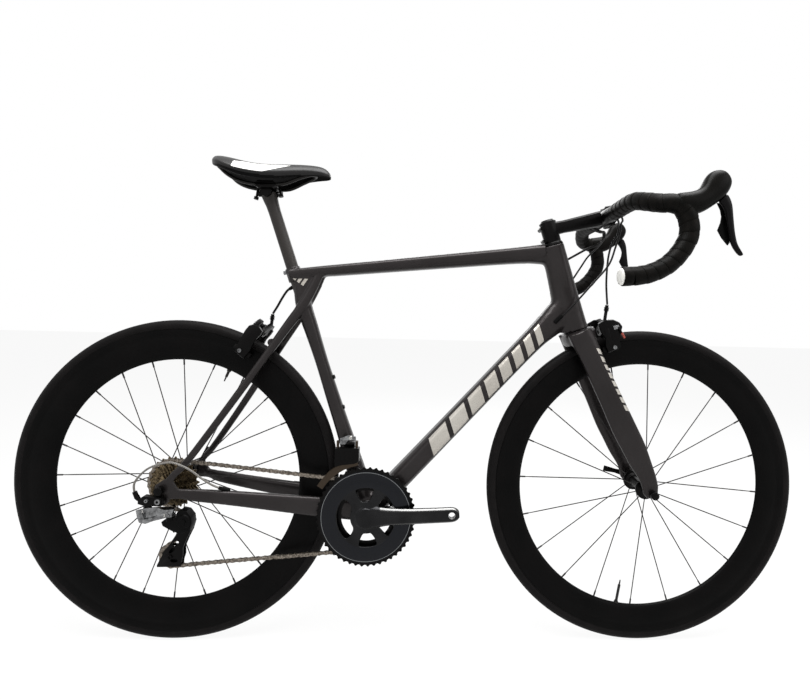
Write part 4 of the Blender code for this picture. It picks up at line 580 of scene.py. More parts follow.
# %% Turned, flat and round pieces
def turned(name, profile, centre, steps, closed=True, axis=(0, 1, 0)):
    """Spins a profile of (radius, distance along the axis) about the axis through centre."""
    axis = Vector(axis).normalized()
    out = Vector((0, 0, -1)) if abs(axis.y) > 0.9 else axis.cross(SIDE).normalized()
    points = [Vector(centre) + out * r + axis * h for r, h in profile]
    edges = [(i, i + 1) for i in range(len(points) - 1)] + ([(len(points) - 1, 0)] if closed else [])
    piece = draw(name, points, edges)
    edit(piece)
    bpy.ops.mesh.spin(steps=steps, angle=math.tau, center=centre, axis=axis)
    bpy.ops.mesh.select_all(action="SELECT")
    bpy.ops.mesh.remove_doubles(threshold=1e-5)
    bpy.ops.mesh.normals_make_consistent(inside=False)
    leave()
    return piece


def plate(name, outline, low, high):
    """An outline of (x, z) points extruded across the bicycle."""
    piece = draw(name, [(x, low, z) for x, z in outline], faces=[tuple(range(len(outline)))])
    edit(piece)
    bpy.ops.mesh.extrude_region_move(TRANSFORM_OT_translate={"value": (0.0, high - low, 0.0)})
    bpy.ops.mesh.select_all(action="SELECT")
    bpy.ops.mesh.normals_make_consistent(inside=False)
    leave()
    return piece


def bar(name, a, b, radius, end_radius=None, sides=24):
    """A cone primitive laid between two points."""
    a, b = Vector(a), Vector(b)
    way = b - a
    bpy.ops.object.select_all(action="DESELECT")
    bpy.ops.mesh.primitive_cone_add(
        vertices=sides, radius1=radius, radius2=radius if end_radius is None else end_radius,
        depth=way.length, location=(a + b) / 2, rotation=way.to_track_quat("Z", "Y").to_euler(),
    )
    piece = bpy.context.active_object
    piece.name = name
    bpy.ops.object.transform_apply(location=True, rotation=True, scale=True)
    return piece


def mirror_copy(piece, name):
    """A copy on the other side of the middle plane, with its faces turned out again."""
    pick(piece)
    bpy.ops.object.duplicate()
    copy = bpy.context.active_object
    copy.name = name
    for vertex in copy.data.vertices:
        vertex.co.y = -vertex.co.y
    edit(copy)
    bpy.ops.mesh.flip_normals()
    leave()
    return copy


print("sides of a bar unless told otherwise:", bar.__defaults__[-1])

# %% [markdown]
# ## The frame's tubes
# Each tube goes through measured sections, from deep and wide at the joints to slim between them.
# Dropouts, hanger and bridge are flat plates and a rod, and the right stays mirror the left ones.

# %% Frame tubes
down_rows = [
    (0.150, 0.0, 0.0225, 0.0300), (0.200, 0.0, 0.0220, 0.0290), (0.400, 0.0, 0.0216, 0.0270),
    (0.620, 0.0, 0.0222, 0.0240), (0.680, 0.0020, 0.0255, 0.0230), (0.715, 0.0045, 0.0310, 0.0220),
    (0.755, 0.0055, 0.0330, 0.0205)
]
down_tube = frame_tube("down_tube_skin", [(*on_down_tube(s, o), d, w) for s, o, d, w in down_rows], 0.9)
top_tube = frame_tube(
    "top_tube_skin",
    [
        (-0.2715, 0.0, 0.77400, 0.0100, 0.0185), (-0.2000, 0.0, 0.7823, 0.0112, 0.0190),
        (-0.124, 0.0, 0.79065, 0.0122, 0.0190), (0.060, 0.0, 0.8113, 0.0147, 0.0198),
        (0.177, 0.0, 0.82415, 0.0162, 0.0205), (0.235, 0.0, 0.8301, 0.0180, 0.0210),
        (0.272, 0.0, 0.8322, 0.0215, 0.0212)
    ],
    0.95
)
seat_tube = frame_tube(
    "seat_tube_skin",
    [
        (-0.0980, 0.0, 0.2870, 0.0200, 0.0260), (-0.1236, 0.0, 0.3629, 0.0190, 0.0210),
        (-0.1485, 0.0, 0.4376, 0.0155, 0.0175), (-0.1728, 0.0, 0.5073, 0.0141, 0.0160),
        (-0.2015, 0.0, 0.5920, 0.0129, 0.0150), (-0.2265, 0.0, 0.6650, 0.0150, 0.0155),
        (-0.2395, 0.0, 0.7000, 0.0165, 0.0160), (-0.2430, 0.0, 0.7200, 0.0170, 0.0165),
        (-0.2400, 0.0, 0.7430, 0.0235, 0.0168), (-0.2385, 0.0, 0.7640, 0.0280, 0.0170),
        (-0.2390, 0.0, 0.7790, 0.0275, 0.0168)
    ],
    0.55
)
head_rows = [
    (0.3632, -0.0053, 0.0290, 0.0255), (0.3720, -0.0062, 0.0292, 0.0245), (0.4000, -0.0077, 0.0304, 0.0230),
    (0.4400, -0.0069, 0.0291, 0.0220), (0.5000, -0.0048, 0.0262, 0.0215), (0.5520, -0.0047, 0.0256, 0.0215)
]
head_rings = []
for along, ahead, deep, wide in head_rows:
    head_rings.append(oval(steer_point(along, ahead), STEER_FORWARD * deep, SIDE * wide, 32, 2.5))
head_tube = skin("head_tube_skin", head_rings)
shell = bar(
    "bottom_bracket_skin", BOTTOM_BRACKET - SIDE * 0.0432, BOTTOM_BRACKET + SIDE * 0.0432, 0.0240, sides=48
)
print("tube sections' points:", len(BEVELLED))

# %% [markdown]
# ## Stays and dropouts
# Slim stays run to flat dropouts that hold the rear wheel. One side is drawn and mirrored, and the
# hanger for the derailleur stands on the right only.

# %% Stays and dropouts
chainstay = frame_tube(
    "chainstay_skin",
    [
        (-0.4700, 0.0675, 0.3275, 0.0095, 0.0040), (-0.4560, 0.0650, 0.3262, 0.0105, 0.0045),
        (-0.4300, 0.0585, 0.3219, 0.0123, 0.0065), (-0.3500, 0.0480, 0.3118, 0.0149, 0.0080),
        (-0.2500, 0.0385, 0.2992, 0.0182, 0.0085), (-0.1950, 0.0335, 0.2925, 0.0200, 0.0085),
        (-0.1500, 0.0280, 0.2865, 0.0205, 0.0095), (-0.1000, 0.0240, 0.2800, 0.0200, 0.0095)
    ],
    0.7
)
seatstay = frame_tube(
    "seatstay_skin",
    [
        (-0.4845, 0.0680, 0.3480, 0.0065, 0.0038), (-0.4720, 0.0660, 0.3640, 0.0066, 0.0042),
        (-0.4502, 0.0600, 0.3889, 0.0068, 0.0055), (-0.4051, 0.0530, 0.4540, 0.0070, 0.0060),
        (-0.3560, 0.0430, 0.5280, 0.0075, 0.0062), (-0.3020, 0.0300, 0.6120, 0.0082, 0.0065),
        (-0.2740, 0.0235, 0.6560, 0.0095, 0.0070), (-0.2480, 0.0160, 0.6960, 0.0105, 0.0075),
        (-0.2285, 0.0130, 0.7300, 0.0100, 0.0075), (-0.2130, 0.0120, 0.7620, 0.0095, 0.0070),
        (-0.2060, 0.0110, 0.7790, 0.0090, 0.0065)
    ],
    0.6
)
DROPOUT = [
    (0.030, -0.019), (0.034, 0.001), (0.030, 0.006), (0.020, 0.022), (0.006, 0.021), (-0.010, 0.010),
    (-0.013, -0.002), (-0.008, -0.012), (0.008, -0.017)
]
dropout = plate("dropout_skin", [(REAR_AXLE.x + x, REAR_AXLE.z + z) for x, z in DROPOUT], 0.0652, 0.0715)
stays = [chainstay, seatstay, dropout]
stays += [mirror_copy(p, p.name + "_right") for p in list(stays)]
hanger = plate(
    "hanger_skin",
    [(-0.5010, 0.3330), (-0.4790, 0.3330), (-0.4790, 0.3120), (-0.4850, 0.3060), (-0.4980, 0.3070)],
    -0.0721, -0.0660
)
bridge = bar("brake_bridge_skin", (-0.3010, -0.026, 0.6290), (-0.3010, 0.026, 0.6290), 0.0080)
collar = bar("seat_collar_skin", seat_axis(0.7600), seat_axis(0.7875), 0.0160, sides=48)

frame_skin = join(
    "frame_shell", down_tube, top_tube, seat_tube, head_tube, shell, *stays, hanger, bridge, collar
)
print("frame pieces drawn, faces:", len(frame_skin.data.polygons))

# %% [markdown]
# ## One skin with fillets
# A layup has no seams, so a fine voxel remesh fuses the pieces into one skin. It leaves a crease
# where tubes meet. Points near each joint are smoothed many times, which pulls the skin into a
# fillet there and leaves the long tubes alone.

# %% Fusing and fillets
FRAME_VOXEL = 0.0020


def fuse(piece, voxel, passes):
    """Remeshes joined pieces into one skin and smooths its steps away."""
    pick(piece)
    piece.data.remesh_voxel_size = voxel
    bpy.ops.object.voxel_remesh()
    modify(piece, "SMOOTH", factor=0.5, iterations=passes)


def fillet(piece, place, radius, passes):
    """Smooths only the points that lie within a radius of a joint."""
    near = Vector(place)
    edit(piece, "DESELECT")
    leave()
    for vertex in piece.data.vertices:
        vertex.select = (vertex.co - near).length < radius
    bpy.ops.object.mode_set(mode="EDIT")
    bpy.ops.mesh.vertices_smooth(factor=0.5, repeat=passes)
    leave()


fuse(frame_skin, FRAME_VOXEL, 4)
JOINTS = [
    ((0.262, 0.0, 0.808), 0.030, 26), ((0.272, 0.0, 0.742), 0.045, 30), ((0.318, 0.0, 0.680), 0.030, 16),
    ((-0.200, 0.0, 0.766), 0.022, 16), ((-0.250, 0.0, 0.690), 0.024, 8), ((-0.075, 0.0, 0.310), 0.034, 20),
    ((-0.120, 0.0, 0.300), 0.040, 16), ((-0.462, 0.067, 0.338), 0.026, 8),
    ((-0.462, -0.067, 0.338), 0.026, 8),
]
for place, radius, passes in JOINTS:
    fillet(frame_skin, place, radius, passes)
dress(
    frame_skin, frame_paint, "frame", "frame_paint",
    (
        "head_tube", "top_tube", "down_tube", "seat_tube", "bottom_bracket_shell", "chainstay_right",
        "chainstay_left", "seatstay_right", "seatstay_left"
    ),
    60
)
print("frame faces:", len(frame_skin.data.polygons))

# %% [markdown]
# ## The fork
# Two deep carbon blades drop from a broad crown and taper to the dropouts. They are made as the
# frame is, because the real ones are laid up and painted with it.

# %% Fork
FORK_VOXEL = 0.0018


def lofted(name, rows, count, power):
    """Ovals between a front and a rear edge: rows of x, z, x, z, y and half width."""
    rings = []
    for ax, az, bx, bz, y, wide in rows:
        a = Vector((ax, y, az))
        b = Vector((bx, y, bz))
        rings.append(oval((a + b) / 2, (a - b) / 2, SIDE * wide, count, power))
    return skin(name, rings)


blade_rows = [
    (0.3190, 0.6560, 0.3650, 0.6770, 0.0360, 0.0120), (0.3330, 0.6270, 0.3805, 0.6480, 0.0395, 0.0110),
    (0.3496, 0.5960, 0.3916, 0.6170, 0.0425, 0.0105), (0.3856, 0.5200, 0.4296, 0.5400, 0.0465, 0.0100),
    (0.4141, 0.4566, 0.4621, 0.4750, 0.0500, 0.0095), (0.4335, 0.4208, 0.4800, 0.4380, 0.0520, 0.0090),
    (0.4490, 0.3925, 0.4910, 0.4080, 0.0540, 0.0085), (0.4697, 0.3610, 0.5032, 0.3715, 0.0560, 0.0080),
    (0.4755, 0.3440, 0.5085, 0.3480, 0.0570, 0.0070), (0.4775, 0.3340, 0.5075, 0.3340, 0.0572, 0.0068),
    (0.4845, 0.3265, 0.5015, 0.3265, 0.0572, 0.0064),
]
blade = lofted("fork_blade_skin", smooth_rows(blade_rows, 0.012), 28, 2.5)
other_blade = mirror_copy(blade, "fork_blade_right_skin")
crown_rows = [
    (0.3620, 0.0030, 0.0300, 0.0300), (0.3560, 0.0010, 0.0335, 0.0395), (0.3450, -0.0010, 0.0330, 0.0470),
    (0.3330, -0.0020, 0.0300, 0.0480)
]
crown = skin(
    "fork_crown_skin",
    [oval(steer_point(u, f), STEER_FORWARD * d, SIDE * w, 32, 2.8) for u, f, d, w in crown_rows]
)
fork_skin = join("fork_shell", crown, blade, other_blade)
fuse(fork_skin, FORK_VOXEL, 6)
for y in (-0.030, 0.030):
    fillet(fork_skin, (0.352, y, 0.640), 0.034, 18)
dress(fork_skin, fork_paint, "steering", "frame_paint", ("fork",), 60)
print("fork faces:", len(fork_skin.data.polygons))

# %% [markdown]
# ## Tyres
# A slick tyre is a round rubber casing on the rim's hooks. A torus would be quicker, but a spun
# profile also gives the beads, and the tread band whose edge shows as a faint line.

# %% Tyres
# Moulded rubber: near black and matt, so it shows almost no highlight, with a very fine grain.
rubber = new_material("slick_tyre_rubber", Roughness=0.55, Specular_IOR_Level=0.07)
mottle(rubber, 30.0, 3.0, "#0b0a0a", "#121010")
raise_bumps(rubber, 1400.0, 2.0, 0.12, 0.0002)

CASING_CENTRE = 0.3230
CASING_RADIUS = 0.0122
TREAD_RADIUS = 0.0125
TREAD_EDGE = 46
BEAD = [(0.3157, 0.0100), (0.3172, 0.0107)]


def tyre(name, axle, body, node):
    """A casing from bead to bead, a hair thicker along its tread."""
    profile = list(BEAD)
    for degrees in range(118, -119, -12):
        radius = TREAD_RADIUS if abs(degrees) <= TREAD_EDGE else CASING_RADIUS
        angle = math.radians(degrees)
        profile.append((CASING_CENTRE + radius * math.cos(angle), radius * math.sin(angle)))
    profile += [(r, -y) for r, y in reversed(BEAD)]
    piece = turned(name, profile, axle, 160)
    return dress(piece, rubber, body, "tyre", (node,), 50)


tyre("front_tyre_slick", FRONT_AXLE, "front_wheel", "front_tyre")
tyre("rear_tyre_slick", REAR_AXLE, "rear_wheel", "rear_tyre")
print("tyre radius in mm:", round((CASING_CENTRE + TREAD_RADIUS) * 1000, 1))

# %% [markdown]
# ## Deep rims
# The rims are deep carbon hoops: a straight brake track at the top, a bulge, and a narrow inner edge.
# They are spun from half a section and its mirror image, as a mould has two halves.

# %% Rims and valves
# Moulded carbon under satin lacquer: very dark, with a low and soft sheen.
rim_carbon = new_material("satin_black_carbon_rim", Roughness=0.33, Specular_IOR_Level=0.05)
mottle(rim_carbon, 14.0, 2.0, "#040404", "#080707")
vary_gloss(rim_carbon, 60.0, 2.0, 0.34, 0.44)

FRONT_RIM_INNER = 0.2625
REAR_RIM_INNER = 0.2522
TRACK_FOOT = 0.2980
BRAKE_TRACK = [(0.3165, 0.0102), (0.3160, 0.0114), (0.3050, 0.0115), (0.3040, 0.0112), (TRACK_FOOT, 0.0115)]
BULGE = ((0.25, 0.0113), (0.45, 0.0104), (0.65, 0.0088), (0.80, 0.0068), (0.92, 0.0045), (0.985, 0.0020))


def rim(name, axle, inner, body, node):
    """The bulge is given as (share of the depth, half width)."""
    half = list(BRAKE_TRACK)
    for share, wide in BULGE:
        half.append((TRACK_FOOT - (TRACK_FOOT - inner) * share, wide))
    profile = half + [(inner, 0.0)] + [(r, -y) for r, y in reversed(half)]
    piece = turned(name, profile, axle, 160)
    return dress(piece, rim_carbon, body, "rim", (node,), 30)


rim("front_rim_hoop", FRONT_AXLE, FRONT_RIM_INNER, "front_wheel", "front_rim")
rim("rear_rim_hoop", REAR_AXLE, REAR_RIM_INNER, "rear_wheel", "rear_rim")

# Plated brass: black, with a soft metal shine.
black_brass = new_material("black_plated_brass", Base_Color=linear("#1a1918"), Metallic=0.6, Roughness=0.35)
VALVES = (
    ("front_valve", FRONT_AXLE, FRONT_RIM_INNER, -99.8, 0.049, "front_wheel"),
    ("rear_valve", REAR_AXLE, REAR_RIM_INNER, 66.8, 0.026, "rear_wheel"),
)
for name, axle, inner, angle, length, body in VALVES:
    shoulder = inner - length + 0.010
    places = [axle + polar(r, angle) for r in (
        inner + 0.004, shoulder, shoulder + 0.001, inner - length, inner + 0.0005, inner - 0.0035
    )]
    tube = bar(name, places[0], places[1], 0.0028)
    core = bar(name + "_core", places[2], places[3], 0.0017, 0.0013)
    nut = bar(name + "_nut", places[4], places[5], 0.0050, 0.0040)
    dress(join(name, tube, core, nut), black_brass, body, "black_alloy")
print(
    "rim depths in mm:", [round((BRAKE_TRACK[0][0] - r) * 1000) for r in (FRONT_RIM_INNER, REAR_RIM_INNER)]
)

# %% [markdown]
# ## Spokes and hubs
# A bladed spoke is a steel wire that was pressed flat in its middle. One is modelled with its round
# ends and nipple, and drawn again for each hole. The front ones are all radial. At the back every
# hole on the left has a radial spoke, and pairs on the right cross on their way.

# %% Spokes
# Drawn steel, blackened: thin and dark, with a faint line of light along the blade.
spoke_steel = new_material("black_bladed_steel", Base_Color=linear("#1d1b1a"), Metallic=0.6, Roughness=0.36)
raise_bumps(spoke_steel, 500.0, 2.0, 0.05, 0.0002)

WIRE = (0.0010, 0.0010)
BLADE = (0.00115, 0.00055)
NIPPLE = (0.0017, 0.0017)


def spoke(name, start, end):
    """A round end at the hub, a flat blade, a round end and the nipple."""
    way = (end - start).normalized()
    flat = way.cross(SIDE).normalized()
    thin = way.cross(flat)
    length = (end - start).length
    stations = (
        (0.0, WIRE), (0.012, WIRE), (0.022, BLADE), (length - 0.030, BLADE), (length - 0.020, WIRE),
        (length - 0.012, WIRE), (length - 0.0119, NIPPLE), (length, NIPPLE),
    )
    return skin(name, [oval(start + way * along, flat * a, thin * b, 8) for along, (a, b) in stations])


def wheel_spokes(name, axle, rows, inner, body, replaces):
    """Rows of (rim angle, lead to the hub's hole, hub radius, hub y)."""
    wires = []
    for k, (angle, lead, radius, y) in enumerate(rows):
        hub_hole = axle + polar(radius, angle + lead, y)
        wires.append(spoke(f"{name}_{k}", hub_hole, axle + polar(inner + 0.0005, angle)))
    return dress(join(name, *wires), spoke_steel, body, "black_alloy", replaces, 50)


front_left = [(69 - 36 * k, 0, 0.0190, 0.0300) for k in range(10)]
front_right = [(87 - 36 * k, 0, 0.0190, -0.0300) for k in range(10)]
rear_left = [(89 + 45 * k, 0, 0.0185, 0.0340) for k in range(8)]
rear_cross = [(74 + 45 * k, 75, 0.0250, -0.0157) for k in range(8)]
rear_cross += [(59 + 45 * k, -75, 0.0250, -0.0173) for k in range(8)]
for name, axle, rows, inner, body, replaces in (
    ("front_spokes_near", FRONT_AXLE, front_right, FRONT_RIM_INNER, "front_wheel", ("front_spokes_right",)),
    ("front_spokes_far", FRONT_AXLE, front_left, FRONT_RIM_INNER, "front_wheel", ()),
    ("rear_spokes_crossed", REAR_AXLE, rear_cross, REAR_RIM_INNER, "rear_wheel", ("rear_spokes_right",)),
    ("rear_spokes_radial", REAR_AXLE, rear_left, REAR_RIM_INNER, "rear_wheel", ()),
):
    wheel_spokes(name, axle, rows, inner, body, replaces)
print("spokes:", len(front_left + front_right), "in front,", len(rear_left + rear_cross), "at the back")

# %% [markdown]
# ## Hubs
# A hub shell is turned from one bar of aluminium: a slim waist and two flanges for the spokes. A lathe
# profile spun round the axle is the same process, so it is the natural way to draw one.

# %% Hubs
# Turned aluminium, black anodised: deep black with a fine, slightly uneven sheen. It is also what
# the stem, brakes and levers of the gears are made of, so it is used again below.
hub_black = new_material(
    "black_anodised_aluminium", Base_Color=linear("#0b0a0a"), Metallic=0.6, Roughness=0.3,
    Specular_IOR_Level=0.15
)
vary_gloss(hub_black, 220.0, 3.0, 0.27, 0.40)
raise_bumps(hub_black, 1600.0, 2.0, 0.06, 0.0002)

FRONT_HUB_HALF = [
    (0.0052, -0.0497), (0.0088, -0.0497), (0.0090, -0.0400), (0.0105, -0.0345), (0.0165, -0.0322),
    (0.0215, -0.0316), (0.0215, -0.0284), (0.0165, -0.0278), (0.0125, -0.0240), (0.0105, -0.0120),
]
FRONT_HUB = FRONT_HUB_HALF + [(0.0100, 0.0)] + [(r, -y) for r, y in reversed(FRONT_HUB_HALF)]
REAR_HUB = [
    (0.0052, -0.0640), (0.0085, -0.0640), (0.0085, -0.0200), (0.0200, -0.0196), (0.0275, -0.0181),
    (0.0275, -0.0149), (0.0200, -0.0130), (0.0140, -0.0080), (0.0122, 0.0), (0.0120, 0.0150),
    (0.0135, 0.0280), (0.0160, 0.0318), (0.0210, 0.0324), (0.0210, 0.0356), (0.0160, 0.0362),
    (0.0120, 0.0440), (0.0105, 0.0560), (0.0105, 0.0640), (0.0052, 0.0640),
]
front_hub = turned("front_hub_shell", FRONT_HUB, FRONT_AXLE, 48)
dress(front_hub, hub_black, "front_wheel", "black_alloy", ("front_hub",), 30)
rear_hub = turned("rear_hub_shell", REAR_HUB, REAR_AXLE, 48)
dress(rear_hub, hub_black, "rear_wheel", "black_alloy", ("rear_hub",), 30)
print("hub faces:", len(front_hub.data.polygons), len(rear_hub.data.polygons))

# %% [markdown]
# ## Cassette
# Each sprocket is a thin toothed disc, stamped from steel. Its outline is a circle whose points step
# in and out at every tooth, and the discs sit on a spacer core.

# %% Cassette
# Stamped steel, worn and oiled: golden brown, with dark blotches of old grease.
cassette_steel = new_material("golden_brown_sprocket_steel", Metallic=0.9, Roughness=0.38)
mottle(cassette_steel, 240.0, 4.0, "#7a6b52", "#241e17")
vary_gloss(cassette_steel, 300.0, 2.0, 0.28, 0.5)

CHAIN_PITCH = 0.0127
# Eight steps across a tooth: the share of a tooth's width, and the height over the pitch circle.
TOOTH = (
    (0.50, -0.0040), (0.36, -0.0036), (0.24, -0.0014), (0.14, 0.0012), (0.06, 0.0025),
    (-0.06, 0.0025), (-0.14, 0.0012), (-0.24, -0.0014), (-0.36, -0.0036),
)


def pitch_radius(teeth):
    return CHAIN_PITCH / (2 * math.sin(math.pi / teeth))


def toothed_ring(name, teeth, centre, y, bore, thick, lower=0.0):
    """A ring with rounded roots and narrow tips; lower makes the teeth shallower."""
    outer = []
    for k in range(teeth):
        for share, lift in reversed(TOOTH):
            radius = pitch_radius(teeth) + lift * (1 - lower) - lower * 0.0012
            outer.append((radius, (k + share) * 360 / teeth))
    rings = []
    for inner, level in ((None, -thick / 2), (None, thick / 2), (bore, thick / 2), (bore, -thick / 2)):
        rings.append([Vector(centre) + polar(inner or radius, angle, y + level) for radius, angle in outer])
    return skin(name, rings, closed=True)


SPROCKETS = (25, 23, 21, 19, 17, 16, 15, 14, 13, 12, 11)
SPROCKET_GAP = 0.00374
FIRST_SPROCKET_Y = -0.0225
discs = []
for i, teeth in enumerate(SPROCKETS):
    bore = max(0.0180, pitch_radius(teeth) - 0.0115) if i else pitch_radius(teeth) - 0.0180
    y = FIRST_SPROCKET_Y - SPROCKET_GAP * i
    discs.append(toothed_ring(f"sprocket_{teeth}", teeth, REAR_AXLE, y, min(bore, 0.0440), 0.0016))
CORE = [(0.0100, -0.0205), (0.0178, -0.0205), (0.0178, -0.0600), (0.0150, -0.0612), (0.0100, -0.0612)]
CARRIER = [(0.0178, -0.0262), (0.0400, -0.0242), (0.0400, -0.0228), (0.0178, -0.0238)]
core = turned("sprocket_core", CORE, REAR_AXLE, 48)
carrier = turned("sprocket_carrier", CARRIER, REAR_AXLE, 48)
cassette = join("cassette_stack", *discs, core, carrier)
dress(cassette, cassette_steel, "cassette_body", "cassette_steel", ("cassette",), 30)
print("sprockets:", SPROCKETS)

# %% [markdown]
# ## Chain
# A chain is pairs of plates on pins, alternately inside and outside. Its run is a belt round the
# ring, the sprocket and the two pulleys. One inner and one outer pair are drawn with few faces,
# because they are repeated over a hundred times.

# %% The chain's run
# Stamped steel plates, oiled: a warm grey metal with dark blotches of oil.
chain_steel = new_material("oiled_chain_steel", Metallic=0.9, Roughness=0.36)
mottle(chain_steel, 280.0, 4.0, "#91887e", "#2f2a24")

CHAIN_Y = -0.02624
RING_Y = -0.0400
GUIDE = Vector((-0.4740, CHAIN_Y, 0.2520))
TENSION = Vector((-0.4923, CHAIN_Y, 0.1854))
# Each circle: centre, radius, which way the chain turns round it, and its place across the bicycle.
CIRCLES = [
    (BOTTOM_BRACKET.xz, pitch_radius(34), 1, RING_Y),
    (REAR_AXLE.xz, pitch_radius(23), 1, CHAIN_Y),
    (GUIDE.xz, pitch_radius(11), -1, CHAIN_Y),
    (TENSION.xz, pitch_radius(11), 1, CHAIN_Y),
]


def chain_run(circles, pitch):
    """Pins round the circles, each as a place in the middle of the chain."""
    headings = []
    for i, (centre, radius, sense, _) in enumerate(circles):
        other, far_radius, far_sense, _ = circles[(i + 1) % len(circles)]
        gap = other - centre
        headings.append(
            math.atan2(gap.y, gap.x) - math.asin((far_sense * far_radius - sense * radius) / gap.length)
        )
    legs = []
    for i, (centre, radius, sense, y) in enumerate(circles):
        start = headings[i - 1]
        legs.append(
            ("arc", ((headings[i] - start) * sense % math.tau) * radius, centre, radius, sense, start, y, y)
        )
        other, far_radius, far_sense, far_y = circles[(i + 1) % len(circles)]
        out = Vector((math.sin(headings[i]), -math.cos(headings[i])))
        a, b = centre + out * radius * sense, other + out * far_radius * far_sense
        legs.append(("line", (b - a).length, a, b, 0, headings[i], y, far_y))
    total = sum(leg[1] for leg in legs)
    count = round(total / pitch / 2) * 2
    pins = []
    for k in range(count):
        goal = total * k / count
        for kind, length, first, second, sense, start, y, far_y in legs:
            if goal <= length:
                break
            goal -= length
        if kind == "arc":
            heading = start + sense * goal / second
            place = first + Vector((math.sin(heading), -math.cos(heading))) * second * sense
        else:
            place = first.lerp(second, goal / length)
        share = goal / length
        y_here = y + (far_y - y) * share * share * (3 - 2 * share)
        pins.append(Vector((place.x, y_here, place.y)))
    return pins


print("circles that the chain runs round:", len(CIRCLES))

# %% [markdown]
# ## Plates and pins
# Every second pair of plates lies outside its neighbours, and a pin joins them. All are written into
# one mesh at once, because a hundred separate objects would be slow to join.

# %% Plates and pins
LINK_END = 0.0036
INNER_OFFSET = 0.00125
OUTER_OFFSET = 0.00215
PLATE_THICK = 0.0008
PIN_RADIUS = 0.0017
PIN_HALF = 0.0026


def link_plate(a, b, y):
    """One plate between two pins: an outline with a waist, extruded."""
    way = (b - a).normalized()
    out = way.cross(SIDE)
    half = (b - a).length / 2
    middle = (a + b) / 2
    over = (
        (-half - LINK_END, 0.0), (-half - 0.0026, 0.0028), (-half, 0.0040),
        (0.0, 0.0029), (half, 0.0040), (half + 0.0026, 0.0028),
    )
    outline = [middle + way * along + out * tall for along, tall in over]
    outline += [middle - way * along - out * tall for along, tall in over]
    return [[p + SIDE * (y + level) for p in outline] for level in (-PLATE_THICK / 2, PLATE_THICK / 2)]


pins = chain_run(CIRCLES, CHAIN_PITCH)
pieces = []
for k, pin in enumerate(pins):
    following = pins[(k + 1) % len(pins)]
    offset = OUTER_OFFSET if k % 2 else INNER_OFFSET
    pieces += [link_plate(pin, following, y) for y in (-offset, offset)]
    round_pin = [oval(pin + SIDE * y, Vector((PIN_RADIUS, 0, 0)), Vector((0, 0, PIN_RADIUS)), 8)
                 for y in (-PIN_HALF, PIN_HALF)]
    pieces.append(round_pin)
points = []
faces = []
for low_ring, high_ring in pieces:
    n = len(low_ring)
    base = len(points)
    points += low_ring + high_ring
    faces += [(base + i, base + (i + 1) % n, base + n + (i + 1) % n, base + n + i) for i in range(n)]
    faces += [tuple(base + i for i in reversed(range(n))), tuple(base + n + i for i in range(n))]
chain = draw("chain_links", points, faces=faces)
edit(chain)
bpy.ops.mesh.normals_make_consistent(inside=False)
leave()
dress(chain, chain_steel, "frame", "chain_steel", ("chain",), 30)
print("chain pins:", len(pins))

# %% [markdown]
# ## Chainset
# Cold-forged arms are anodised dark and polished, so their flat faces go nearly black and their bevels
# catch the light. The outer ring's face is dished, and its teeth are black. The light on the bevels is a
# painted highlight, read from an attribute, because it follows the surface and not a plane.

# %% Chainset finishes
# Forged aluminium, black anodised and polished: nearly black, with a lighter grey painted highlight along
# the bevels.
crank_finish = new_material("polished_black_aluminium_painted_highlight", Metallic=0.9, Roughness=0.22)
dark = mix(crank_finish, blotches(crank_finish, 25.0, 2.0), "#1a1a1b", "#252526")
painted_highlight_share = add_node(crank_finish, "ShaderNodeAttribute", attribute_name="painted_bevel_highlight").outputs["Fac"]
# A lighter grey is painted over the dark metal as a highlight, where the attribute marks the bevels.
feed(crank_finish, mix(crank_finish, painted_highlight_share, dark, "#6a6a69"), "Base Color")
vary_gloss(crank_finish, 400.0, 2.0, 0.20, 0.30)
# Turned and polished aluminium: a thin bright line.
bright_line = new_material("polished_ring_edge", Base_Color=linear("#8b8d8e"), Metallic=1.0, Roughness=0.3)
vary_gloss(bright_line, 300.0, 2.0, 0.26, 0.34)
# Glossy anodised aluminium: a blue black that mirrors the room.
ring_black = new_material(
    "glossy_black_anodised_ring", Base_Color=linear("#1e1f22"), Metallic=0.9, Roughness=0.2
)
vary_gloss(ring_black, 300.0, 2.0, 0.14, 0.20)

CRANK_TILT_DEGREES = 4.56
CRANK_TILT = math.radians(CRANK_TILT_DEGREES)
CRANK_FORWARD = Vector((math.cos(CRANK_TILT), 0.0, math.sin(CRANK_TILT)))
ARM_STARTS = 0.030
ARM_HALF_TALL = 0.024
BEVEL_FACING = 0.58
BEVEL_SPREAD = 0.40


def store(piece, name, numbers):
    """Writes one number per point as an attribute that the material reads."""
    values = piece.data.attributes.new(name, "FLOAT", "POINT")
    for value, number in zip(values.data, numbers):
        value.value = number


def painted_bevel_highlight(vertex, side):
    """How much painted highlight a point gets: on the bevel between the arm's outer face and its edge, more
    where the bevel faces up or down.
    """
    from_axle = vertex.co - BOTTOM_BRACKET
    along = -side * from_axle.dot(CRANK_FORWARD)
    off_line = abs(from_axle.dot(SIDE.cross(CRANK_FORWARD)))
    if along <= ARM_STARTS or off_line >= ARM_HALF_TALL:
        return 0.0
    on_bevel = max(0.0, 1.0 - abs(vertex.normal.y * side - BEVEL_FACING) / BEVEL_SPREAD)
    return on_bevel * min(abs(vertex.normal.z) * 1.4, 1.0)


print("crank tilt in degrees:", CRANK_TILT_DEGREES)

# %% [markdown]
# ## Chainrings
# Two toothed rings are cut from plate, and the outer one's face is turned to a dish with a bright
# line at its foot. The teeth come from the same function as the sprockets.

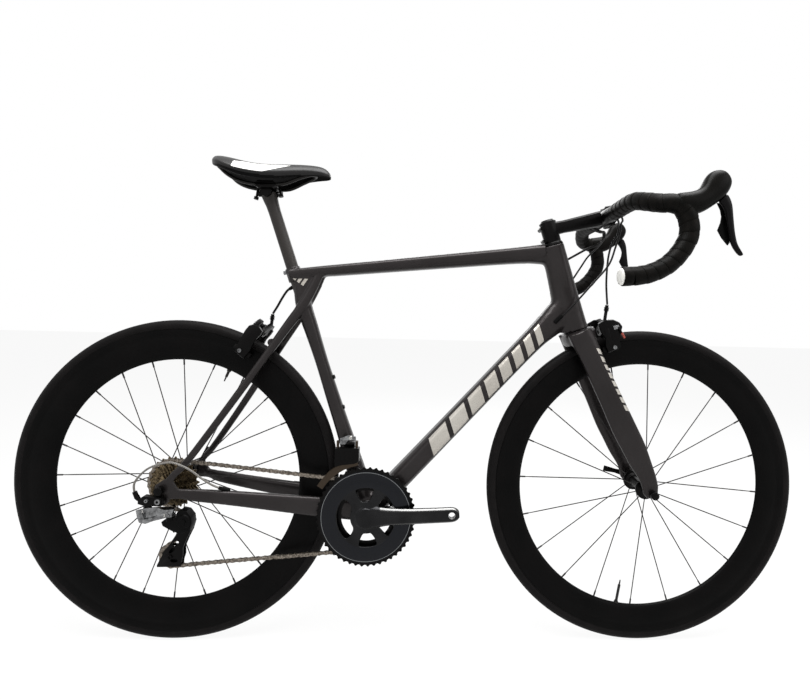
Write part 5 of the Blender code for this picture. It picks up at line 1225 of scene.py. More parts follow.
# %% Chainrings
OUTER_RING_Y = -0.0470
RING_FACE = [
    (0.0958, -0.0462), (0.0958, -0.0476), (0.0952, -0.0480), (0.0944, -0.0474), (0.0934, -0.0474),
    (0.0929, -0.0488), (0.0918, -0.0494), (0.0880, -0.0504), (0.0800, -0.0520), (0.0720, -0.0530),
    (0.0660, -0.0534), (0.0622, -0.0530), (0.0604, -0.0518), (0.0598, -0.0500), (0.0598, -0.0466),
    (0.0630, -0.0462),
]
RING_LINE = [(0.0906, -0.0490), (0.0906, -0.0500), (0.0913, -0.0499), (0.0913, -0.0490)]
outer_teeth = toothed_ring("outer_ring_teeth", 50, BOTTOM_BRACKET, OUTER_RING_Y, 0.0900, 0.0018, lower=0.45)
inner_teeth = toothed_ring("inner_ring_teeth", 34, BOTTOM_BRACKET, RING_Y, 0.0520, 0.0018)
teeth = join("chainring_teeth", outer_teeth, inner_teeth)
dress(teeth, hub_black, "crankset", "black_alloy", ("chainrings",), 30)
ring_face = turned("outer_ring_face", RING_FACE, BOTTOM_BRACKET, 128)
dress(ring_face, ring_black, "crankset", "crank_alloy", (), 35)
ring_line = turned("outer_ring_line", RING_LINE, BOTTOM_BRACKET, 128)
dress(ring_line, bright_line, "crankset", "crank_alloy", (), 35)
print("outer ring's pitch radius in mm:", round(pitch_radius(50) * 1000, 1))

# %% [markdown]
# ## Crank arms
# An arm is forged to a tapering bar with a bevelled outer face. Sections along its length give that
# taper, and the pedal's eye is bored afterwards, as in the real one.

# %% Crank arms
# Rows along an arm: distance from the axle, distance from the middle plane, half height, half width.
ARM_ROWS = [
    (-0.0220, 0.0505, 0.0130, 0.0060), (-0.0120, 0.0508, 0.0210, 0.0066), (0.0100, 0.0514, 0.0225, 0.0068),
    (0.0280, 0.0530, 0.0205, 0.0068), (0.0480, 0.0552, 0.0178, 0.0066), (0.0900, 0.0610, 0.0160, 0.0064),
    (0.1400, 0.0652, 0.0153, 0.0062), (0.1670, 0.0668, 0.0152, 0.0062), (0.1785, 0.0670, 0.0146, 0.0062),
    (0.1860, 0.0670, 0.0116, 0.0060), (0.1905, 0.0670, 0.0062, 0.0056),
]
# The section has a flat outer face and a broad bevel, as (height, width) shares.
ARM_SECTION = (
    (1, 0), (1, 0.25), (0.80, 0.80), (0.66, 1.0), (0, 1.0), (-0.66, 1.0), (-0.80, 0.80),
    (-1, 0.25), (-1, 0), (-1, -0.5), (-0.8, -1.0), (0, -1.0), (0.8, -1.0), (1, -0.5),
)
CRANK_LENGTH = 0.175
EYE_RADIUS = 0.0068


def crank_arm(name, side, ahead):
    tall_way = SIDE.cross(ahead) * -1.0
    rings = []
    for along, y, tall, thick in smooth_rows(ARM_ROWS, 0.006):
        centre = BOTTOM_BRACKET + ahead * along + SIDE * y * side
        rings.append([centre + tall_way * tall * d + SIDE * thick * w * side for d, w in ARM_SECTION])
    return skin(name, rings)


def cut(piece, cutter):
    """Takes the cutter's shape away from a piece, and the cutter with it."""
    modify(piece, "BOOLEAN", object=cutter, operation="DIFFERENCE", solver="EXACT")
    bpy.data.objects.remove(cutter, do_unlink=True)


def rounded(outline, passes=3):
    """Cuts the corners of an outline until they are round."""
    for _ in range(passes):
        following = outline[1:] + outline[:1]
        outline = [p.lerp(q, share) for p, q in zip(outline, following) for share in (0.25, 0.75)]
    return outline


def cut_windows(piece, outlines, low, high):
    """Cuts windows through a piece, across the bicycle."""
    for outline in outlines:
        cut(piece, skin("window_cutter", [[Vector((p.x, y, p.z)) for p in outline] for y in (low, high)]))


def bore_hole(piece, start, end, radius, sides=48):
    cut(piece, bar("hole_cutter", start, end, radius, sides=sides))


def softened(piece, width=0.0008, sharp=30):
    """Gives sharp edges the small bevel that a mould or a cutter leaves."""
    return modify(
        piece, "BEVEL", width=width, segments=2, limit_method="ANGLE", angle_limit=math.radians(sharp),
        use_clamp_overlap=True,
    )
print("sections measured along an arm:", len(ARM_ROWS))

# %% [markdown]
# ## Spider
# The right arm carries four limbs that hold the rings. They could be drawn one by one, but a disc
# with windows cut through it, fused with the arm and smoothed, flows as a forging does.

# %% Spider
WINDOW_IN = 0.0330
WINDOW_OUT = 0.0600
LIMB = (0.0095, 0.0125)
ARM = (0.0195, 0.0190)
SPIDER_ANGLES = (0, 57, 121, 239, 303, 360)
SPIDER_DISC = [
    (0.0, -0.0570), (0.0190, -0.0570), (0.0240, -0.0548), (0.0320, -0.0528), (0.0450, -0.0518),
    (0.0600, -0.0524), (0.0640, -0.0526), (0.0640, -0.0470), (0.0500, -0.0462), (0.0300, -0.0452),
    (0.0, -0.0452),
]
RING_BOLT = [(0.0, -0.0470), (0.0048, -0.0470), (0.0048, -0.0446), (0.0, -0.0446)]
CRANK_VOXEL = 0.0011


def window(first, last):
    """The opening between two limbs; each keeps half its limb's width clear at both its rims."""
    edges = []
    for angle, turn_in in ((first, 1), (last, -1)):
        for radius, clear in zip((WINDOW_IN, WINDOW_OUT), ARM if angle in (0, 360) else LIMB):
            edges.append(angle + CRANK_TILT_DEGREES + turn_in * math.degrees(math.asin(clear / radius)))
    inner_from, outer_from, inner_to, outer_to = edges
    outline = [polar(WINDOW_OUT, outer_from + (outer_to - outer_from) * k / 5) for k in range(6)]
    if inner_to > inner_from:
        outline += [polar(WINDOW_IN, inner_to + (inner_from - inner_to) * k / 3) for k in range(4)]
    else:
        outline.append(polar(WINDOW_IN + 0.004, (inner_to + inner_from) / 2))
    return rounded([BOTTOM_BRACKET + p for p in outline])


def boss(name, side, outer_radius):
    inner = 0.0440 if side < 0 else 0.0450
    ends = [BOTTOM_BRACKET + SIDE * side * y for y in (inner, 0.0585)]
    return bar(name, *ends, 0.0215, outer_radius, sides=64)


arm = crank_arm("crank_arm_right", -1, CRANK_FORWARD)
windows = [window(first, last) for first, last in zip(SPIDER_ANGLES, SPIDER_ANGLES[1:])]
disc = turned("spider_disc", SPIDER_DISC, BOTTOM_BRACKET, 96, closed=False)
cut_windows(disc, windows, -0.07, -0.03)
crank = join("crank_and_spider", arm, disc, boss("crank_boss", -1, 0.0195))
fuse(crank, CRANK_VOXEL, 14)
eye = BOTTOM_BRACKET + CRANK_FORWARD * CRANK_LENGTH
bore_hole(crank, eye - SIDE * 0.09, eye - SIDE * 0.04, EYE_RADIUS)
# The painted highlight on the bevels is stored on each point.
store(crank, "painted_bevel_highlight", [painted_bevel_highlight(vertex, -1) for vertex in crank.data.vertices])
dress(crank, crank_finish, "crankset", "crank_alloy", ("crank_right",), 35)

left_arm = crank_arm("crank_arm_left", 1, -CRANK_FORWARD)
left_boss = boss("crank_left_boss", 1, 0.0190)
softened(left_arm, 0.0010, 35)
eye = BOTTOM_BRACKET - CRANK_FORWARD * CRANK_LENGTH
bore_hole(left_arm, eye + SIDE * 0.04, eye + SIDE * 0.09, EYE_RADIUS)
# The painted highlight on the bevels is stored on each point.
store(left_arm, "painted_bevel_highlight", [painted_bevel_highlight(vertex, 1) for vertex in left_arm.data.vertices])
left_crank = join("crank_arm_left", left_arm, left_boss)
dress(left_crank, crank_finish, "crankset", "crank_alloy", ("crank_left",), 35)
for k, angle in enumerate((57, 121, -121, -57)):
    place = BOTTOM_BRACKET + polar(0.0575, angle + CRANK_TILT_DEGREES)
    bolt = turned(f"ring_bolt_{k}", RING_BOLT, place, 32, closed=False)
    dress(bolt, hub_black, "crankset", "black_alloy", (), 30)
print("crank faces:", len(crank.data.polygons))

# %% [markdown]
# ## Refining a machined solid
# Small machined parts already have the right shape in the solids. A copy has its triangles merged
# into flat faces, and every sharp edge gets the small bevel that a tool or a mould leaves.

# %% Refined copies
def refined(node, name, width=0.0005, sharp=28):
    """A copy of a solid with merged faces and small bevels along its sharp edges."""
    pick(nodes[node])
    bpy.ops.object.duplicate()
    piece = bpy.context.active_object
    piece.name = name
    piece.parent = None
    edit(piece)
    bpy.ops.mesh.remove_doubles(threshold=1e-6)
    bpy.ops.mesh.dissolve_limited(angle_limit=math.radians(2.0))
    leave()
    softened(piece, width, sharp)
    return piece


# Anodised aluminium, brushed to a silver grey with cloudy patches.
grey_metal = new_material("silver_grey_anodised_aluminium", Metallic=0.9, Roughness=0.26)
mottle(grey_metal, 140.0, 2.0, "#4c4c4d", "#8c8d8e")
# Machined steel: small bright highlights on bolts and wires.
bright_steel = new_material("bright_steel", Base_Color=linear("#b8b6b2"), Metallic=1.0, Roughness=0.28)
# Stamped and plated steel: a dark warm metal.
dark_bronze = new_material(
    "dark_bronze_plated_steel", Base_Color=linear("#3b332b"), Metallic=0.95, Roughness=0.3
)
# Moulded glass-filled nylon: black, with a fine matt grain.
black_moulding = new_material(
    "black_moulded_plastic", Base_Color=linear("#070707"), Roughness=0.38, Specular_IOR_Level=0.05
)
raise_bumps(black_moulding, 1500.0, 2.0, 0.04, 0.0001)

for node, body, finish, slot in (
    ("headset_cover", "steering", hub_black, "black_alloy"),
    ("stem", "steering", hub_black, "black_alloy"),
    ("stem_faceplate", "steering", hub_black, "black_alloy"),
    ("front_skewer", "steering", hub_black, "steel"),
    ("rear_skewer", "frame", hub_black, "steel"),
    ("front_skewer_lever", "front_skewer_lever_body", hub_black, "black_alloy"),
    ("rear_skewer_lever", "rear_skewer_lever_body", hub_black, "black_alloy"),
    ("front_derailleur_body", "frame", hub_black, "black_alloy"),
    ("front_derailleur_cage", "front_changer", dark_bronze, "grey_alloy"),
    ("rear_derailleur_body", "frame", hub_black, "black_alloy"),
    ("rear_derailleur_link", "rear_derailleur_swing", grey_metal, "grey_alloy"),
    ("rear_derailleur_knuckle", "rear_derailleur_lower", black_moulding, "black_plastic"),
    ("rear_derailleur_cage", "cage", hub_black, "black_alloy"),
    ("front_brake_arm_right", "front_brake_right", hub_black, "black_alloy"),
    ("front_brake_arm_left", "front_brake_left", hub_black, "black_alloy"),
    ("rear_brake_arm_right", "rear_brake_right", hub_black, "black_alloy"),
    ("rear_brake_arm_left", "rear_brake_left", hub_black, "black_alloy"),
    ("shift_paddle_right", "shift_paddle_right_body", black_moulding, "black_plastic"),
    ("shift_paddle_left", "shift_paddle_left_body", black_moulding, "black_plastic"),
):
    dress(refined(node, node + "_finished"), finish, body, slot, (node,), 32)

# %% [markdown]
# ## Derailleur cage and pulleys
# The cage's plates are pressed with openings to save weight, and two toothed pulleys run between
# them. The openings are cut with rounded outlines, and the pulleys are small sprockets with a hub.

# %% Derailleur cage and pulleys
cage_plates = bpy.data.objects["rear_derailleur_cage_finished"]
cage_holes = (
    ((-0.4750, 0.2185), (-0.4762, 0.2105), (-0.4850, 0.2065), (-0.4905, 0.2098), (-0.4840, 0.2180)),
    ((-0.4805, 0.2030), (-0.4895, 0.1935), (-0.4960, 0.1925), (-0.4925, 0.2020), (-0.4870, 0.2045)),
    ((-0.4930, 0.1800), (-0.4840, 0.1822), (-0.4765, 0.1800), (-0.4775, 0.1745), (-0.4900, 0.1742)),
)
outlines = [rounded([Vector((x, 0.0, z)) for x, z in outline]) for outline in cage_holes]
cut_windows(cage_plates, outlines, -0.0480, -0.0050)

PULLEY_HUB = [
    (0.0042, CHAIN_Y - 0.0030), (0.0085, CHAIN_Y - 0.0030), (0.0085, CHAIN_Y + 0.0030),
    (0.0042, CHAIN_Y + 0.0030)
]
for name, centre, body, node in (
    ("guide_pulley_teeth", GUIDE, "guide_wheel", "guide_pulley"),
    ("tension_pulley_teeth", TENSION, "tension_wheel", "tension_pulley"),
):
    flat_centre = Vector((centre.x, 0.0, centre.z))
    wheel = toothed_ring(name, 11, flat_centre, CHAIN_Y, 0.0042, 0.0026)
    hub = turned(name + "_hub", PULLEY_HUB, flat_centre, 32)
    dress(join(name, wheel, hub), black_moulding, body, "black_plastic", (node,), 30)
print("cage openings:", len(cage_holes))

# %% [markdown]
# ## Small parts of the brakes
# Bolts, barrels and covers are what makes a brake look real up close. Each is a primitive or an
# outline with a bevelled edge, and rides on the arm that carries it. Both brakes are one design, so
# one function fits them, in a frame of its own: across the rim, down to the pads, and out.

# %% Brake fittings
def bolt_head(name, place, way, radius, tall):
    """A round head with a hexagon socket, facing along way."""
    place = Vector(place)
    way = Vector(way).normalized()
    head = bar(name, place, place + way * tall, radius, radius * 0.92, 32)
    bore_hole(head, place + way * tall * 0.45, place + way * tall * 2, radius * 0.5, 6)
    return head


# Moulded red plastic: the only warm colour on the bicycle.
red_cap = new_material("red_moulded_cap", Base_Color=linear("#8e3a2e"), Roughness=0.4)
FRONT_REACH = 0.0370
REAR_REACH = 0.0502
REAR_SIDE = [
    (0.010, -0.010), (0.022, -0.015), (0.034, -0.012), (0.041, -0.004), (0.042, 0.006), (0.040, 0.020),
    (0.038, 0.034), (0.035, 0.043), (0.010, 0.045), (0.008, 0.030), (0.012, 0.012), (0.010, 0.0)
]
ARM_SIDE = [
    (0.006, -0.022), (0.022, -0.026), (0.040, -0.022), (0.052, -0.012), (0.056, -0.002), (0.050, 0.008),
    (0.044, 0.020), (0.040, 0.034), (0.036, 0.043), (0.010, 0.045), (0.008, 0.030), (0.012, 0.012),
    (0.006, -0.002)
]
BRAKES = (
    # end, pivot, out, down, across, reach, adjuster's end, side view, carrier, centred arm, side arm
    ("front", steer_point(0.345, 0.030), STEER_FORWARD, -STEER_UP, SIDE, FRONT_REACH, (0.0365, -0.0535),
     ARM_SIDE, "steering", "front_brake_right", "front_brake_left"),
    ("rear", Vector((-0.3120, 0.0, 0.6375)), Vector((-0.833, 0.0, 0.553)), Vector((-0.553, 0.0, -0.833)),
     -SIDE, REAR_REACH, (0.0320, -0.0400), REAR_SIDE, "frame", "rear_brake_left", "rear_brake_right"),
)
print("brakes measured:", [row[0] for row in BRAKES])

# %% [markdown]
# ## Fitting a brake
# Each cover is skinned from the arm's side view, a little proud of the solid arm beneath. Everything
# that sits on it is placed in the brake's own three directions.

# %% Both brakes
def fit_brake(end, origin, out, down, across, reach, top, side_view, carrier, centred_arm, side_arm):
    """Two covered arms and the bolts, adjuster, wire and release that sit on them."""
    def at(w, d, o):
        return origin + across * w + down * d + out * o

    stretch = reach / FRONT_REACH
    for side, body in ((-1, centred_arm), (1, side_arm)):
        rings = []
        for w, shrink in ((0.0300, 1.0), (0.0385, 0.94)):
            outline = [(o * shrink + 0.001, d * (stretch if d > 0 else 1.0) * shrink) for o, d in side_view]
            rings.append([at(side * w, d, o) for o, d in outline])
        cheek = softened(skin(f"{end}_caliper_cheek_{body}", rings), 0.0016)
        dress(cheek, hub_black, body, "black_alloy", (), 32)
        screw = bolt_head(
            "pad_screw", at(side * 0.0380, reach * 0.96, 0.026), across * side, 0.0044, 0.0030
        )
        dress(screw, grey_metal, body, "grey_alloy", (), 30)

    tip = at(-0.0310, top[1], top[0])
    foot = at(-0.0310, -0.0160, 0.0195)
    way = (tip - foot).normalized()
    barrel = []
    for k in range(4):
        low = tip - way * (0.006 + 0.0022 * k)
        barrel.append(bar("adjuster", low, low + way * 0.0015, 0.0052 - 0.0004 * (k % 2), sides=20))
    barrel.append(bar("adjuster_cap", tip - way * 0.0040, tip + way * 0.0002, 0.0036, sides=20))
    dress(join(f"{end}_cable_adjuster", *barrel), hub_black, centred_arm, "black_alloy", (), 32)

    nut = bolt_head(f"{end}_brake_nut", at(0.0, 0.0, 0.0300), out, 0.0058, 0.0050)
    dress(nut, hub_black, carrier, "steel", (), 30)
    post_bolt = bolt_head(f"{end}_side_pivot_bolt", at(0.022, -0.012, 0.0352), out, 0.0046, 0.0030)
    dress(post_bolt, grey_metal, carrier, "grey_alloy", (), 30)

    anchor_bolt = bolt_head("anchor", at(-0.0345, -0.0040, 0.0430), out, 0.0050, 0.0040)
    anchor_plate = bar(
        "anchor_plate", at(-0.0345, -0.0040, 0.0345), at(-0.0345, -0.0040, 0.0432), 0.0066, sides=6
    )
    anchor = join(f"{end}_cable_anchor", anchor_bolt, anchor_plate)
    dress(anchor, grey_metal, side_arm, "grey_alloy", (), 30)
    wire = bar(f"{end}_brake_wire", foot + out * 0.004, at(-0.0345, 0.0120, 0.0425), 0.0008, sides=8)
    dress(wire, bright_steel, centred_arm, "steel", (), 40)
    rod = bar("release_rod", at(-0.0400, -0.004, 0.0440), at(-0.0400, 0.0100, 0.0480), 0.0020)
    cap = bar(
        f"{end}_release_cap", at(-0.0400, 0.0100, 0.0480), at(-0.0400, 0.0220, 0.0510), 0.0026, 0.0020
    )
    dress(rod, hub_black, side_arm, "black_alloy", (), 40)
    dress(cap, red_cap, side_arm, "black_plastic", (), 40)


for row in BRAKES:
    fit_brake(*row)
print("brakes fitted:", len(BRAKES))

# %% [markdown]
# ## Small parts of the gears
# The rear derailleur's outer link is a bare forging with a pocket, and its spring sits in a round
# case. The front one has a cable arm over a black body. Each is an outline, extruded and bevelled.

# %% Rear derailleur parts
LINK_SIDE = [
    (-0.5274, 0.3051), (-0.5250, 0.2900), (-0.5222, 0.2800), (-0.5131, 0.2755), (-0.5022, 0.2783),
    (-0.4830, 0.2800), (-0.4776, 0.2830), (-0.4850, 0.2943), (-0.4959, 0.3040), (-0.5100, 0.3060)
]
LINK_TOP = (-0.5165, -0.0780)
LINK_SLOPE = 0.0220 / 0.0365
rings = []
for level in (0.0086, 0.0120):
    rings.append(
        [Vector((x, LINK_TOP[1] + (x - LINK_TOP[0]) * LINK_SLOPE - level, z)) for x, z in LINK_SIDE]
    )
outer_link = softened(skin("derailleur_outer_link", rings), 0.0012)
POCKET = [(-0.5180, 0.2990), (-0.5150, 0.2850), (-0.5060, 0.2850), (-0.4960, 0.2880), (-0.5040, 0.2985)]
pocket_rings = [
    [Vector((x, y + (x - LINK_TOP[0]) * 0.6, z)) for x, z in POCKET] for y in (-0.1000, -0.0850)
]
cut(outer_link, skin("pocket_cutter", pocket_rings))
dress(outer_link, grey_metal, "rear_derailleur_swing", "grey_alloy", (), 30)

OUTWARD = (0, -1, 0)
GEAR_BOLTS = (
    # name, place, radius, height, finish, body, slot
    ("link_pin_top", (-0.5190, -0.0880, 0.3010), 0.0034, 0.0032,
     bright_steel, "rear_derailleur_swing", "steel"),
    ("link_pin_foot", (-0.4870, -0.0690, 0.2860), 0.0034, 0.0032,
     bright_steel, "rear_derailleur_swing", "steel"),
    ("hanger_bolt", (-0.4924, -0.0830, 0.3174), 0.0058, 0.0040, grey_metal, "frame", "grey_alloy"),
    ("body_screw", (-0.5130, -0.0846, 0.3200), 0.0036, 0.0040, grey_metal, "frame", "grey_alloy"),
)
for name, place, radius, tall, finish, body, slot in GEAR_BOLTS:
    dress(bolt_head(name, place, OUTWARD, radius, tall), finish, body, slot, (), 30)
ferrule = bar("ferrule", (-0.5402, -0.0785, 0.3350), (-0.5360, -0.0785, 0.3250), 0.0044)
adjuster = bar(
    "barrel_adjuster", (-0.5362, -0.0785, 0.3255), (-0.5310, -0.0785, 0.3190), 0.0052, 0.0040, 16
)
dress(join("housing_elbow", ferrule, adjuster), hub_black, "frame", "black_alloy", (), 32)
SPRING_CASE = [
    (0.0, -0.0650), (0.0050, -0.0650), (0.0054, -0.0632), (0.0125, -0.0628), (0.0140, -0.0612),
    (0.0140, -0.0400), (0.0, -0.0400),
]
spring_case = turned("cage_spring_case", SPRING_CASE, (-0.4540, 0.0, 0.2700), 48, closed=False)
dress(spring_case, black_moulding, "rear_derailleur_lower", "black_plastic", (), 30)
for name, centre in (("guide_bolt", GUIDE), ("tension_bolt", TENSION)):
    head = bolt_head(name, (centre.x, -0.0334, centre.z), OUTWARD, 0.0050, 0.0026)
    dress(head, hub_black, "cage", "black_alloy", (), 30)
print("outer link faces:", len(outer_link.data.polygons))

# %% [markdown]
# ## Front derailleur
# A short arm over a black body pulls the cage across. Both are flat outlines, extruded and bevelled,
# because that is how stamped and forged levers look from the side.

# %% Front derailleur parts
CABLE_ARM = [
    (-0.1510, 0.4238), (-0.1510, 0.4362), (-0.1350, 0.4426), (-0.1186, 0.4408),
    (-0.1182, 0.4330), (-0.1340, 0.4330), (-0.1400, 0.4238),
]
CHANGER_COVER = [
    (-0.1600, 0.4170), (-0.1110, 0.4180), (-0.1105, 0.3900), (-0.1200, 0.3860), (-0.1450, 0.3830),
    (-0.1600, 0.3790)
]
cable_arm = softened(plate("changer_cable_arm", CABLE_ARM, -0.0450, -0.0415))
dress(cable_arm, grey_metal, "front_changer", "grey_alloy", (), 30)
cable_bolt = bolt_head("changer_cable_bolt", (-0.1290, -0.0450, 0.4385), OUTWARD, 0.0036, 0.0034)
dress(cable_bolt, bright_steel, "front_changer", "steel", (), 30)
cover = softened(plate("changer_body_cover", CHANGER_COVER, -0.0510, -0.0330), 0.0012)
dress(cover, hub_black, "front_changer", "black_alloy", (), 32)
clamp_place = seat_axis(0.4150) + Vector((0.004, -0.0310, 0.0))
clamp_bolt = bolt_head("changer_clamp_bolt", clamp_place, OUTWARD, 0.0044, 0.0036)
dress(clamp_bolt, hub_black, "frame", "black_alloy", (), 30)
print("cover faces:", len(cover.data.polygons))

# %% [markdown]
# ## Bolts and ports on the frame
# Bottle bolts plug their bosses, and every cable enters the frame through a moulded sleeve. They
# ride on the frame and stand a little proud, as the real ones do.

# %% Bolts and ports
DOWN_TUBE_OUT = (-0.7344, 0.0, 0.6787)
SEAT_TUBE_OUT = (0.9466, 0.0, 0.3223)
BOTTLE_BOLTS = [
    (f"bottle_bolt_{k}", Vector(on_down_tube(along, 0.0205)), DOWN_TUBE_OUT) for k,
    along in enumerate((0.4020, 0.3390))
]
BOTTLE_BOLTS += [
    (f"seat_bottle_bolt_{k}", seat_axis(z) + Vector((0.0120, 0.0, 0.004)), SEAT_TUBE_OUT)
    for k, z in enumerate((0.4890, 0.5530))
]
for name, place, way in BOTTLE_BOLTS:
    dress(bolt_head(name, place, way, 0.0048, 0.0036), hub_black, "frame", "black_alloy", (), 30)
for name, start, end in (
    ("port_right", (0.3085, -0.0285, 0.7000), (0.2940, -0.0215, 0.6850)),
    ("port_left", (0.3080, 0.0250, 0.7330), (0.2990, 0.0200, 0.7220)),
    ("port_rear", (-0.3880, -0.0575, 0.3370), (-0.3700, -0.0470, 0.3280)),
    ("port_seat", (-0.2730, 0.0005, 0.7425), (-0.2630, 0.0, 0.7490)),
):
    dress(bar(name, start, end, 0.0034, 0.0046), black_moulding, "frame", "black_plastic", (), 40)
tab = bar("clamp_tab", (-0.2700, 0.0, 0.7800), (-0.2855, 0.0, 0.7760), 0.0040, sides=16)
screw = bar("clamp_screw", (-0.2800, -0.0070, 0.7775), (-0.2800, 0.0070, 0.7775), 0.0032, sides=16)
dress(join("seat_clamp_bolt", tab, screw), grey_metal, "frame", "grey_alloy", (), 40)
print("bottle bolts:", len(BOTTLE_BOLTS))

# %% [markdown]
# ## Handlebar and tape
# The aluminium bar shows only beside the stem. The rest is wrapped in one strip of tape, wound so
# that each turn overlaps the last and leaves a small step.

# %% Handlebar
BAR_ROUTE = [
    (0.4055, 0.000, 0.9160), (0.4055, 0.060, 0.9160), (0.4055, 0.135, 0.9160), (0.4120, 0.170, 0.9080),
    (0.4250, 0.200, 0.8980), (0.4420, 0.212, 0.8950), (0.4570, 0.214, 0.8890), (0.4665, 0.215, 0.8740),
    (0.4705, 0.216, 0.8556), (0.4689, 0.216, 0.8348), (0.4537, 0.216, 0.8077), (0.4317, 0.216, 0.7859),
    (0.4037, 0.217, 0.7720), (0.3784, 0.218, 0.7665), (0.3529, 0.218, 0.7645)
]


def swept(name, path, radii, count=24):
    """A round tube along a path, its rings turning as little as they can."""
    wide = (path[1] - path[0]).normalized().orthogonal().normalized()
    rings = []
    for i, point in enumerate(path):
        ahead = (path[min(i + 1, len(path) - 1)] - path[max(i - 1, 0)]).normalized()
        wide = (wide - ahead * wide.dot(ahead)).normalized()
        rings.append(oval(point, wide * radii[i], ahead.cross(wide) * radii[i], count))
    return skin(name, rings)


def bar_half(side, spacing):
    return [Vector((x, y * side, z)) for x, y, z in smooth_rows(BAR_ROUTE, spacing)]


STEM_CLAMP_HALF = 0.030
BAR_TAPER = 0.025
BARE_HALF = 0.060
BAR_RADIUS = 0.0159
BARE_RADIUS = 0.0119
TAPED_RADIUS = 0.0112
bar_path = bar_half(-1, 0.008)[::-1] + bar_half(1, 0.008)[1:]
bar_radii = []
for point in bar_path:
    swell = 1.0 - min(max((abs(point.y) - STEM_CLAMP_HALF) / BAR_TAPER, 0.0), 1.0)
    bare = BARE_RADIUS if abs(point.y) < BARE_HALF else TAPED_RADIUS
    bar_radii.append(bare + (BAR_RADIUS - bare) * swell * swell * (3 - 2 * swell))
bar_tube = swept("handlebar_tube", bar_path, bar_radii, 32)
dress(bar_tube, hub_black, "steering", "black_alloy", ("handlebar",), 40)

# Moulded plastic: plain white, half glossy.
plug_white = new_material("white_moulded_plug", Base_Color=linear("#e6e5e1"), Roughness=0.4)
PLUG = [
    (0.0, -0.002), (0.0112, -0.002), (0.0148, 0.0004), (0.0150, 0.0018), (0.0140, 0.0032),
    (0.0110, 0.0042), (0.0, 0.0046),
]
for side, name in ((1, "left"), (-1, "right")):
    path = bar_half(side, 0.008)
    away = (path[-1] - path[-2]).normalized()
    plug = turned(f"bar_plug_{name}", PLUG, path[-1], 40, closed=False, axis=away)
    dress(plug, plug_white, "steering", "grey_housing", (), 40)
print("bar path points:", len(bar_path))

# %% [markdown]
# ## Tape strip
# The tape could be a textured tube, but its steps show at the outline. So one long strip is wound
# round the bar, each turn lying a little over the last.

# %% Tape strip
# Cork tape: black and slightly rough, and it takes a soft light along each turn.
tape_black = new_material("black_cork_tape", Roughness=0.44, Specular_IOR_Level=0.05)
mottle(tape_black, 90.0, 3.0, "#050504", "#0f0d0b")
raise_bumps(tape_black, 900.0, 3.0, 0.14, 0.0003)

TAPE_START = 0.052
TAPE_LOOPS = 19
TAPE_POINTS = 32
UNDER_RADIUS = 0.0125
# Across the strip: the share of a turn's pitch, and the radius there.
TAPE_SECTION = (
    (0.0, UNDER_RADIUS), (0.0, 0.0152), (0.02, 0.0160), (0.25, 0.0163), (0.5, 0.0165),
    (0.75, 0.0167), (0.93, 0.0167), (1.0, 0.0163), (1.0, UNDER_RADIUS),
)


def tape(side):
    """One unbroken strip; its rear edge lies on the turn before it."""
    path = bar_half(side, 0.006)
    wide = Vector((0.0, 0.0, 1.0))
    frames = []
    reach = [0.0]
    for i in range(len(path)):
        ahead = (path[min(i + 1, len(path) - 1)] - path[max(i - 1, 0)]).normalized()
        wide = (wide - ahead * wide.dot(ahead)).normalized()
        frames.append((wide.copy(), ahead.cross(wide)))
        if i:
            reach.append(reach[-1] + (path[i] - path[i - 1]).length)
    total = reach[-1]
    pitch = (total - TAPE_START) / (TAPE_LOOPS + 1)

    def at(distance, angle, radius):
        distance = min(max(distance, 0.0), total)
        k = min(int(distance / total * (len(path) - 1)), len(path) - 2)
        share = (distance - reach[k]) / (reach[k + 1] - reach[k])
        centre = path[k].lerp(path[k + 1], share)
        a = frames[k][0].lerp(frames[k + 1][0], share).normalized()
        b = frames[k][1].lerp(frames[k + 1][1], share).normalized()
        return centre + (a * math.cos(angle) + b * math.sin(angle)) * radius

    rings = []
    for i in range(TAPE_LOOPS * TAPE_POINTS + 1):
        turn = i / TAPE_POINTS
        low = TAPE_START + pitch * turn
        angle = math.tau * turn
        rings.append([at(low + pitch * share, angle, radius) for share, radius in TAPE_SECTION])
    return rings


TAPE_BAND = [
    (0.0120, -0.006), (0.0158, -0.006), (0.0162, -0.004), (0.0162, 0.004), (0.0158, 0.006), (0.0120, 0.006)
]
TAPE_CUFF = [
    (0.0125, -0.016), (0.0160, -0.016), (0.0166, -0.014), (0.0166, -0.001), (0.0158, 0.0006),
    (0.0125, 0.0006)
]
for side, name in ((1, "left"), (-1, "right")):
    strip = skin(f"bar_tape_strip_{name}", tape(side))
    dress(strip, tape_black, "steering", "bar_tape", (f"bar_tape_{name}",), 25)
    path = bar_half(side, 0.006)
    inner_way = (path[10] - path[8]).normalized()
    band = turned(f"tape_band_{name}", TAPE_BAND, path[9], 40, axis=inner_way)
    dress(band, black_moulding, "steering", "black_plastic", (), 40)
    outer_way = (path[-1] - path[-3]).normalized()
    cuff = turned(f"tape_end_{name}", TAPE_CUFF, path[-1], 40, axis=outer_way)
    dress(cuff, tape_black, "steering", "bar_tape", (), 40)
print("tape turns:", TAPE_LOOPS)

# %% [markdown]
# ## Hoods and levers
# A rubber hood covers the lever's body: a flat saddle to rest the hand on, then a tall rounded horn.
# Both hood and lever could be sculpted, but sections that follow the profile are easier to measure,
# and a subdivision surface rounds them off.

# %% Hoods
# Moulded soft rubber: black with a low, broad sheen and a fine grip texture.
hood_rubber = new_material("soft_black_hood_rubber", Roughness=0.34, Specular_IOR_Level=0.06)
mottle(hood_rubber, 60.0, 3.0, "#060504", "#0b0a08")
raise_bumps(hood_rubber, 1200.0, 2.0, 0.08, 0.0002)

